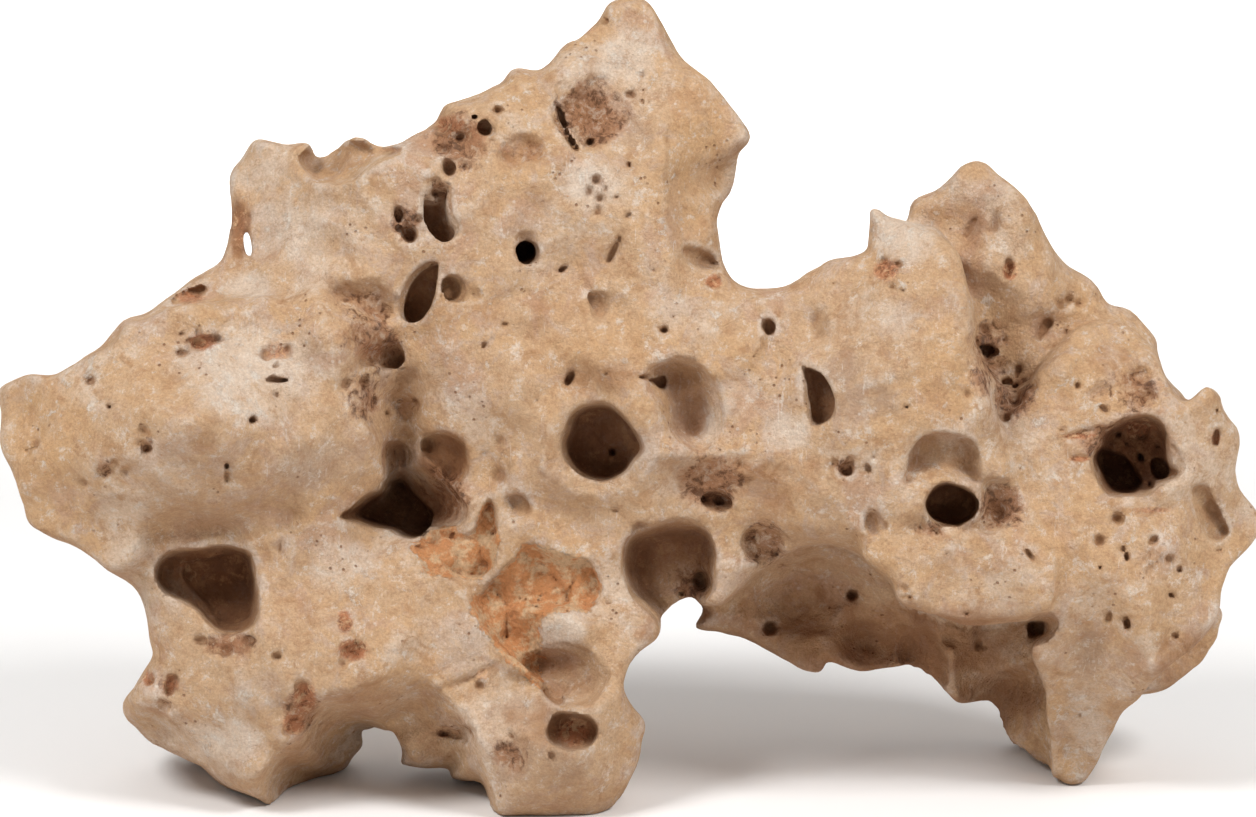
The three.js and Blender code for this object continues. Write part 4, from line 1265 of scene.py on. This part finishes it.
def paint_marks(mesh, stone, field, face, clay):
    """Writes where the stone is hollow, deep, facing down, stained or crusted as attributes of its points,
    some of which the shader uses to paint shade and light.
    """
    count = len(mesh.vertices)
    points, normals = np.empty(count * 3), np.empty(count * 3)
    mesh.vertices.foreach_get("co", points)
    mesh.vertex_normals.foreach_get("vector", normals)
    u, depth, v = to_front(*(points.reshape(-1, 3).T / MM))
    places = (np.stack([u, depth, v], axis=1) - LOWEST) / STEP
    flat = places[:, [0, 2]].round().astype(int)
    flat = (np.clip(flat[:, 0], 0, SHAPE[0] - 1), np.clip(flat[:, 1], 0, SHAPE[2] - 1))
    solid = np.clip(HALF_FULL - field / STEP, 0, 1)
    on_front = np.clip((face[flat] + FRONT_REACH - depth) / FRONT_FADE, 0, 1)
    # The dips say how hollow each place is; the shader paints shade into hollows with them, and paler
    # colour onto what stands proud.
    marks = {name: sample(blurred(solid, radius), places) for name, radius in DIP_RADII.items()}
    # How deep a place lies in the uncut stone; the shader paints shade and brown stain inside the holes
    # with it.
    marks["buried"] = np.clip(-sample(stone, places) / BURIED_DEPTH, 0, 1)
    # Painted shade: the shader browns downward faces, for the shade beneath the rock.
    marks["underside"] = np.clip(-normals.reshape(-1, 3)[:, 2], 0, 1)
    marks["clay"] = np.clip(clay[flat] / CLAY_MARK_GROWTH + CLAY_AT_LINE, 0, 1) * on_front
    for name, (zones, rarity) in ZONES.items():
        chance = np.clip(CHANCE_STRENGTH * sample(noise(CHANCE_WAVELENGTH), places) - rarity, 0, 1)
        marks[name] = zone_strength(zones, u, v) * on_front + chance * (1 - on_front)
    for name, values in marks.items():
        mesh.attributes.new(name, "FLOAT", "POINT").data.foreach_set("value", values.astype(np.float32))


class Value:
    """A number on a shader socket, with plain arithmetic."""

    def __init__(self, shader, socket):
        self.shader = shader
        self.socket = socket

    def math(self, operation, other):
        return self.shader.node("ShaderNodeMath", {"operation": operation}, [self, other])

    def __add__(self, other):
        return self.math("ADD", other)

    __radd__ = __add__

    def __sub__(self, other):
        return self.math("SUBTRACT", other)

    def __rsub__(self, other):
        return self.shader.node("ShaderNodeMath", {"operation": "SUBTRACT"}, [other, self])

    def __mul__(self, other):
        return self.math("MULTIPLY", other)

    __rmul__ = __mul__


class Shader:
    """One material's nodes."""

    def __init__(self, name):
        self.material = bpy.data.materials.new(name)
        self.material.use_nodes = True
        self.tree = self.material.node_tree
        self.surface = self.tree.nodes["Principled BSDF"]
        self.place = self.node("ShaderNodeTexCoord", {}, [], "Object")

    def node(self, kind, settings, inputs, output=0):
        """Adds a node. Inputs are a list in the sockets' order or a dict by name."""
        node = self.tree.nodes.new(kind)
        for name, setting in settings.items():
            setattr(node, name, setting)
        pairs = inputs.items() if isinstance(inputs, dict) else enumerate(inputs)
        for name, value in pairs:
            self.feed(self.socket(node.inputs, name), value)
        return Value(self, self.socket(node.outputs, output))

    def socket(self, sockets, name):
        """A socket by its place, its name or its identifier."""
        if isinstance(name, str) and name not in sockets:
            return next(socket for socket in sockets if socket.identifier == name)
        return sockets[name]

    def feed(self, socket, value):
        """Links a value to a socket, or sets a number or a colour on it."""
        if isinstance(value, Value):
            self.tree.links.new(value.socket, socket)
        elif isinstance(value, tuple) and len(value) == 3 and socket.type == "RGBA":
            socket.default_value = (*value, 1)
        else:
            socket.default_value = value

    def finish(self, looks):
        """Sets the surface's inputs by name and gives the material."""
        for name, value in looks.items():
            self.feed(self.surface.inputs[name], value)
        return self.material

    def mark(self, name):
        """What the mesh says at each point under that name."""
        return self.node("ShaderNodeAttribute", {"attribute_name": name}, [], "Fac")

    def noise(self, scale, detail=4.0, roughness=0.55, distortion=0.0, place=None):
        """Noise between 0 and 1, about 0.5."""
        inputs = {"Vector": place or self.place, "Scale": scale, "Detail": detail,
                  "Roughness": roughness, "Distortion": distortion}
        return self.node("ShaderNodeTexNoise", {}, inputs, "Fac")

    def cells(self, scale):
        """The distance to the nearest of some scattered points."""
        inputs = {"Vector": self.place, "Scale": scale}
        return self.node("ShaderNodeTexVoronoi", {"feature": "F1"}, inputs, "Distance")

    def step(self, value, start, full):
        """0 at the start and 1 where it is full, smooth between and even beyond."""
        inputs = {"Value": value, "From Min": start, "From Max": full}
        return self.node("ShaderNodeMapRange", {"interpolation_type": "SMOOTHSTEP"}, inputs)

    def lay(self, colour, amount, over):
        """A colour with some of another laid over it."""
        inputs = {"Factor_Float": amount, "A_Color": colour, "B_Color": over}
        return self.node("ShaderNodeMix", {"data_type": "RGBA"}, inputs, "Result_Color")

    def layers(self, colour, *rows):
        """Lays several colours over one, each as (what it follows, start, full, strength, colour)."""
        for follows, start, full, strength, over in rows:
            colour = self.lay(colour, self.step(follows, start, full) * strength, over)
        return colour


def tint(*screen):
    """A colour as a screen shows it, from 10 to 255, as the shader takes it."""
    return tuple(((c / 255 + 0.055) / 1.055) ** 2.4 for c in screen)


CREAM = tint(209, 173, 137)
WARM_STONE = tint(210, 168, 124)
PALE_STONE = tint(227, 207, 187)
GREY_STONE = tint(184, 155, 130)
TAN = tint(184, 142, 103)
PINK = tint(201, 163, 136)
LILAC = tint(202, 174, 153)
CHALK = tint(234, 222, 208)
BROWN = tint(142, 95, 62)
LIGHT_BROWN = tint(174, 128, 90)
CRUSTED = tint(182, 130, 94)
DARK_BROWN = tint(100, 61, 38)
# Painted shade for the deepest insides of holes.
DEEP_SHADE = tint(54, 33, 22)
CLAY = tint(226, 154, 98)
CLAY_PALE = tint(238, 198, 154)
CLAY_DARK = tint(140, 78, 44)
RUSTY = tint(188, 122, 84)
RUSTY_DARK = tint(122, 68, 42)

# The marks that the mesh carries for the finish.
MARKS = (*DIP_RADII, "buried", "underside", "clay", *ZONES)

# The noises of the finish: scale in steps to a metre, detail, roughness and distortion.
STONE_NOISES = {
    "broad": (26, 5, 0.6, 0.4),
    "clouds": (31, 7, 0.7),
    "patch": (55, 7, 0.66, 0.5),
    "porous": (60, 4),
    "bloom": (75, 7, 0.7, 1.0),
    "swells": (100, 9, 0.68),
    "blotch": (110, 7, 0.68, 0.8),
    "lumps": (120, 8, 0.75),
    "chalk": (170, 8, 0.75, 0.3),
    "clay patches": (180, 8, 0.72),
    "mottle": (190, 9, 0.82, 0.2),
    "dust": (210, 8, 0.75, 0.3),
    "crevices": (240, 8, 0.8),
    "fine": (320, 6, 0.7, 0.5),
    "rust flecks": (380, 6, 0.7),
    "clay crumbs": (420, 8, 0.8),
    "crust crumbs": (450, 6, 0.7),
    "grain": (1300, 5, 0.7),
}
MIDDLE = 0.5

# Scattered dots, in steps to a metre.
STONE_DOTS = {"specks": 300, "pores": 340, "crumbs": 520}

# Scratches: noise drawn out along each of two directions of the front, in degrees.
SCRATCH_TURNS = (28, -52)
SCRATCH_STRETCH = (1, 0.4, 0.12)
SCRATCH_NOISE = (620, 5, 0.7, 0.4)

# How strong the relief is, and how many metres one step of its height is.
RELIEF_STRENGTH = 0.8
RELIEF_HEIGHT = 0.002

# Roughness of all that is matt, and how little the stone shines.
MATT = 0.9
STONE_SHINE = 0.2


class Limestone(Shader):
    """The stone's finish, laid down one layer over another."""

    def __init__(self):
        super().__init__("limestone")
        self.marks = {name: self.mark(name) for name in MARKS}
        self.noises = {name: self.noise(*settings) for name, settings in STONE_NOISES.items()}
        self.dots = {name: self.cells(scale) for name, scale in STONE_DOTS.items()}
        self.swings = {name: self.noises[name] - MIDDLE for name in ("broad", "patch", "blotch", "fine")}
        self.swings["uneven"] = self.swings["patch"] * 1.2 + self.swings["blotch"]
        chalk = self.frayed(self.noises["chalk"] + self.marks["pale"] * 0.07, broad=0.3)
        self.chalky = self.step(chalk, 0.61, 0.68)
        self.crusted = self.step(self.frayed(self.marks["crust"], fine=1.2, uneven=0.8), 0.4, 0.85)
        self.clayed = self.step(self.frayed(self.marks["clay"], fine=1.8, blotch=1), 0.35, 0.6)
        porous = self.step(self.noises["porous"], 0.56, 0.64)
        self.pores = self.step(self.dots["pores"], 0.20, 0.08) * porous

    def frayed(self, value, **shares):
        """A value made uneven by its share of each named noise."""
        for name, share in shares.items():
            value = value + self.swings[name] * share
        return value

    def scratches(self, turn):
        """Noise drawn out along one direction."""
        inputs = {"Vector": self.place, "Rotation": (0, math.radians(turn), 0), "Scale": SCRATCH_STRETCH}
        return self.noise(*SCRATCH_NOISE, self.node("ShaderNodeMapping", {}, inputs))

    def tinted(self):
        """The broad tints of clean stone, with painted light in some paler zones and painted shade in some
        greyer ones.
        """
        noises, marks = self.noises, self.marks
        return self.layers(
            CREAM,
            (noises["broad"], 0.44, 0.60, 0.6, WARM_STONE),
            (noises["clouds"], 0.50, 0.62, 0.55, PALE_STONE),
            (noises["blotch"], 0.49, 0.66, 0.8, TAN),
            (noises["patch"], 0.52, 0.62, 0.7, PINK),
            (noises["bloom"], 0.52, 0.63, 0.65, LILAC),
            (self.frayed(marks["warm"], uneven=1), 0.25, 0.95, 0.75, WARM_STONE),
            # Paler zones are partly painted light, greyer zones partly painted shade.
            (self.frayed(marks["pale"], uneven=1), 0.25, 0.9, 0.8, PALE_STONE),
            (self.frayed(marks["grey"], uneven=1), 0.3, 1.0, 0.7, GREY_STONE),
        )

    def chalked_with_rim_light(self, colour):
        """Chalk in patches, in scratches and in specks, and paler colour on what stands proud that is
        partly chalk and partly a painted highlight on edges and rims.
        """
        patch = self.noises["patch"]
        # Painted highlight, partly chalk: paler colour on edges and rims that stand proud.
        proud = self.step(self.frayed(0.52 - self.marks["small_dip"], fine=0.25), 0.03, 0.13)
        colour = self.lay(colour, proud * self.step(patch, 0.42, 0.58) * 0.42, CHALK)
        colour = self.lay(colour, self.chalky * 0.7, CHALK)
        for turn in SCRATCH_TURNS:
            scratched = self.step(self.scratches(turn) + self.marks["pale"] * 0.05, 0.62, 0.70)
            colour = self.lay(colour, scratched * self.step(patch, 0.42, 0.56) * 0.55, CHALK)
        specks = self.step(self.dots["specks"], 0.22, 0.10) * self.step(patch, 0.54, 0.62)
        return self.lay(colour, specks * 0.6, CHALK)

    def dusted(self, colour):
        """Fine mottling, and brown dust away from the pale places."""
        return self.layers(
            colour,
            (self.noises["mottle"], 0.50, 0.64, 0.5, LIGHT_BROWN),
            (self.noises["mottle"], 0.47, 0.36, 0.6, CHALK),
            (self.noises["dust"] - self.marks["pale"] * 0.06, 0.58, 0.68, 0.6, LIGHT_BROWN),
        )

    def shaded_and_browned(self, colour):
        """Painted shade with some brown stain in the dips, painted shade on the undersides, and brown stain
        mixed with painted shade in the brown places.
        """
        marks = self.marks
        return self.layers(
            colour,
            # Painted shade with some brown stain: browner where the surface dips into hollows, and browner
            # still in wide ones.
            (self.frayed(marks["small_dip"], fine=0.2), 0.56, 0.74, 0.45, LIGHT_BROWN),
            (self.frayed(marks["dip"], blotch=0.2), 0.56, 0.78, 0.45, LIGHT_BROWN),
            (self.frayed(marks["wide_dip"], blotch=0.2), 0.66, 0.9, 0.4, BROWN),
            # Painted shade on the undersides.
            (marks["underside"], 0.15, 0.9, 0.4, LIGHT_BROWN),
            # Brown places: brown stain mixed with painted shade.
            (self.frayed(marks["brown"], uneven=0.9), 0.2, 0.95, 0.7, LIGHT_BROWN),
            (self.frayed(marks["brown"], uneven=1.2), 0.6, 1.2, 0.6, BROWN),
        )

    def under_crust(self, colour):
        """Brown crust with dark crevices."""
        fine = self.noises["fine"]
        crust = self.layers(
            CRUSTED,
            (fine, 0.5, 0.62, 1, DARK_BROWN),
            (fine, 0.46, 0.38, 0.6, PALE_STONE),
        )
        colour = self.lay(colour, self.crusted * 0.8, crust)
        crevices = self.crusted * self.step(self.noises["crevices"], 0.53, 0.60)
        return self.lay(colour, crevices * 0.6, DARK_BROWN)

    def hole_shade_and_stain(self, colour):
        """Painted shade with brown stain inside the deep holes, darkest at their deepest, with paler lumps
        in them.
        """
        buried = self.marks["buried"]
        sunk = self.step(self.frayed(buried, fine=0.3), 0.1, 0.6)
        colour = self.lay(colour, sunk * 0.75, BROWN)
        colour = self.layers(colour, (self.frayed(buried, fine=0.35), 0.4, 0.95, 0.85, DARK_BROWN))
        lumps = sunk * self.step(self.noises["lumps"], 0.51, 0.60)
        colour = self.lay(colour, lumps * 0.6, LIGHT_BROWN)
        # Painted shade: near black at the deepest places in the holes.
        return self.layers(colour, (self.frayed(buried, blotch=0.3), 0.8, 1.05, 0.6, DEEP_SHADE))

    def rusted(self, colour):
        """Rust stains with dark and pale flecks."""
        rust = self.layers(
            RUSTY,
            (self.noises["rust flecks"], 0.5, 0.6, 1, RUSTY_DARK),
            (self.noises["fine"], 0.5, 0.62, 0.7, CLAY_PALE),
        )
        stained = self.step(self.frayed(self.marks["rust"], fine=1.4), 0.4, 0.8)
        return self.lay(colour, stained * 0.85, rust)

    def under_clay(self, colour):
        """Crumbly clay, darker in its cracks and dips, which is painted shade."""
        # Painted shade: the clay darkens mostly where its surface dips.
        cracks = self.frayed(self.marks["small_dip"] * 0.8 + self.dots["crumbs"] * 0.25, fine=0.5)
        clay = self.layers(
            CLAY,
            (self.noises["clay patches"], 0.45, 0.58, 1, CLAY_PALE),
            (cracks, 0.6, 0.8, 0.85, CLAY_DARK),
        )
        return self.lay(colour, self.clayed * 0.9, clay)

    def pored(self, colour):
        """Brown pores and fine grain."""
        colour = self.lay(colour, self.pores * 0.75, BROWN)
        return self.layers(colour, (self.noises["grain"], 0.60, 0.40, 0.16, DARK_BROWN))

    def relief(self):
        """The small unevenness of the surface."""
        noises = self.noises
        stone = noises["swells"] * 2.6 + noises["fine"] * 1.3 + noises["mottle"] * 0.8
        stone = stone + noises["grain"] * 0.15 - self.pores
        crust = noises["crust crumbs"] * 1.2 - noises["crevices"] * 2.2
        clay = noises["clay crumbs"] * 2.0 - self.dots["crumbs"] * 1.2
        height = stone + self.crusted * crust + self.chalky * 0.15 + self.clayed * clay
        inputs = {"Strength": RELIEF_STRENGTH, "Distance": RELIEF_HEIGHT, "Height": height}
        return self.node("ShaderNodeBump", {}, inputs, "Normal")


def limestone():
    """The stone's material, from clean stone to its stains and pores, with painted shade in its hollows,
    holes and undersides and painted highlight on its rims.
    """
    stone = Limestone()
    colour = stone.shaded_and_browned(stone.dusted(stone.chalked_with_rim_light(stone.tinted())))
    colour = stone.rusted(stone.hole_shade_and_stain(stone.under_crust(colour)))
    colour = stone.pored(stone.under_clay(colour))
    looks = {"Base Color": colour, "Normal": stone.relief()}
    return stone.finish(looks | {"Roughness": MATT, "Specular IOR Level": STONE_SHINE})


# The floor in metres: its width, how high it turns up at the back, and how wide the bend is.
FLOOR_SIZE = 8
FLOOR_RISE = 5
FLOOR_BEND = 1.8
BEND_PARTS = 24
FLOOR_COLOUR = (0.86, 0.85, 0.84)


def make_floor():
    """A pale sheet that runs back from the rock and curves up behind it."""
    bpy.ops.mesh.primitive_plane_add(size=FLOOR_SIZE, location=(0, 0, 0))
    floor = bpy.context.object
    floor.name = "pale_floor"
    bpy.ops.object.mode_set(mode="EDIT")
    bpy.ops.mesh.select_all(action="DESELECT")
    bpy.ops.object.mode_set(mode="OBJECT")
    for edge in floor.data.edges:
        edge.select = all(floor.data.vertices[k].co.y > 0 for k in edge.vertices)
    bpy.ops.object.mode_set(mode="EDIT")
    bpy.ops.mesh.select_mode(type="EDGE")
    bpy.ops.mesh.extrude_region_move(TRANSFORM_OT_translate={"value": (0, 0, FLOOR_RISE)})
    bpy.ops.object.mode_set(mode="OBJECT")
    bend = floor.modifiers.new("bend", "BEVEL")
    bend.width = FLOOR_BEND
    bend.segments = BEND_PARTS
    bpy.ops.object.modifier_apply(modifier=bend.name)
    bpy.ops.object.shade_smooth()
    pale = Shader("pale floor").finish({"Base Color": FLOOR_COLOUR, "Roughness": MATT})
    floor.data.materials.append(pale)


# Round lamps: where each is, what it looks at, its width in metres and its power in watts.
LAMPS = [
    ((-0.95, -1.0, 1.5), (0, 0, 0.1), 0.7, 26),
    ((1.05, -0.9, 1.4), (0, 0, 0.1), 0.7, 22.5),
    ((0, 1.5, 2.2), (0, 4, 1.0), 2.5, 110),
]
ROOM_LIGHT = 0.45


def aim_from(place, aim):
    """The turn that points a lamp from one place at another."""
    dx, dy, dz = (a - p for a, p in zip(aim, place))
    return (math.atan2(math.hypot(dx, dy), -dz), 0, math.atan2(-dx, dy))


def make_light():
    """Two soft lamps in front of the rock, one on the backdrop, and light from all round."""
    world = bpy.data.worlds.new("soft room")
    bpy.context.scene.world = world
    world.use_nodes = True
    background = world.node_tree.nodes["Background"]
    background.inputs["Color"].default_value = (1, 1, 1, 1)
    background.inputs["Strength"].default_value = ROOM_LIGHT
    for place, aim, width, power in LAMPS:
        bpy.ops.object.light_add(type="AREA", location=place)
        lamp = bpy.context.object
        lamp.data.shape = "DISK"
        lamp.data.size = width
        lamp.data.energy = power
        lamp.rotation_euler = aim_from(place, aim)
    bpy.context.scene.view_settings.view_transform = "Standard"


# The camera's sensor in millimetres, and how far it sees in metres.
SENSOR_WIDTH = 36
FARTHEST_SEEN = 50


def make_camera():
    """Looks along the sight lines that the rock is laid out on."""
    place = ((EYE[0] + ORIGIN_SHIFT[0]) * MM, (EYE[1] + ORIGIN_SHIFT[1]) * MM, (EYE[2] + LIFT) * MM)
    bpy.ops.object.camera_add(location=place, rotation=(math.pi / 2 - EYE_ELEVATION, 0, 0))
    camera = bpy.context.object
    camera.data.sensor_width = SENSOR_WIDTH
    camera.data.lens = SENSOR_WIDTH * EYE_DISTANCE / FRONT_WIDTH
    camera.data.clip_end = FARTHEST_SEEN
    bpy.context.scene.camera = camera


make_camera()
make_floor()
make_light()
bpy.ops.object.select_all(action="DESELECT")
rock = make_rock()
rock.data.materials.append(limestone())
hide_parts("rock")
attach(rock, "root")
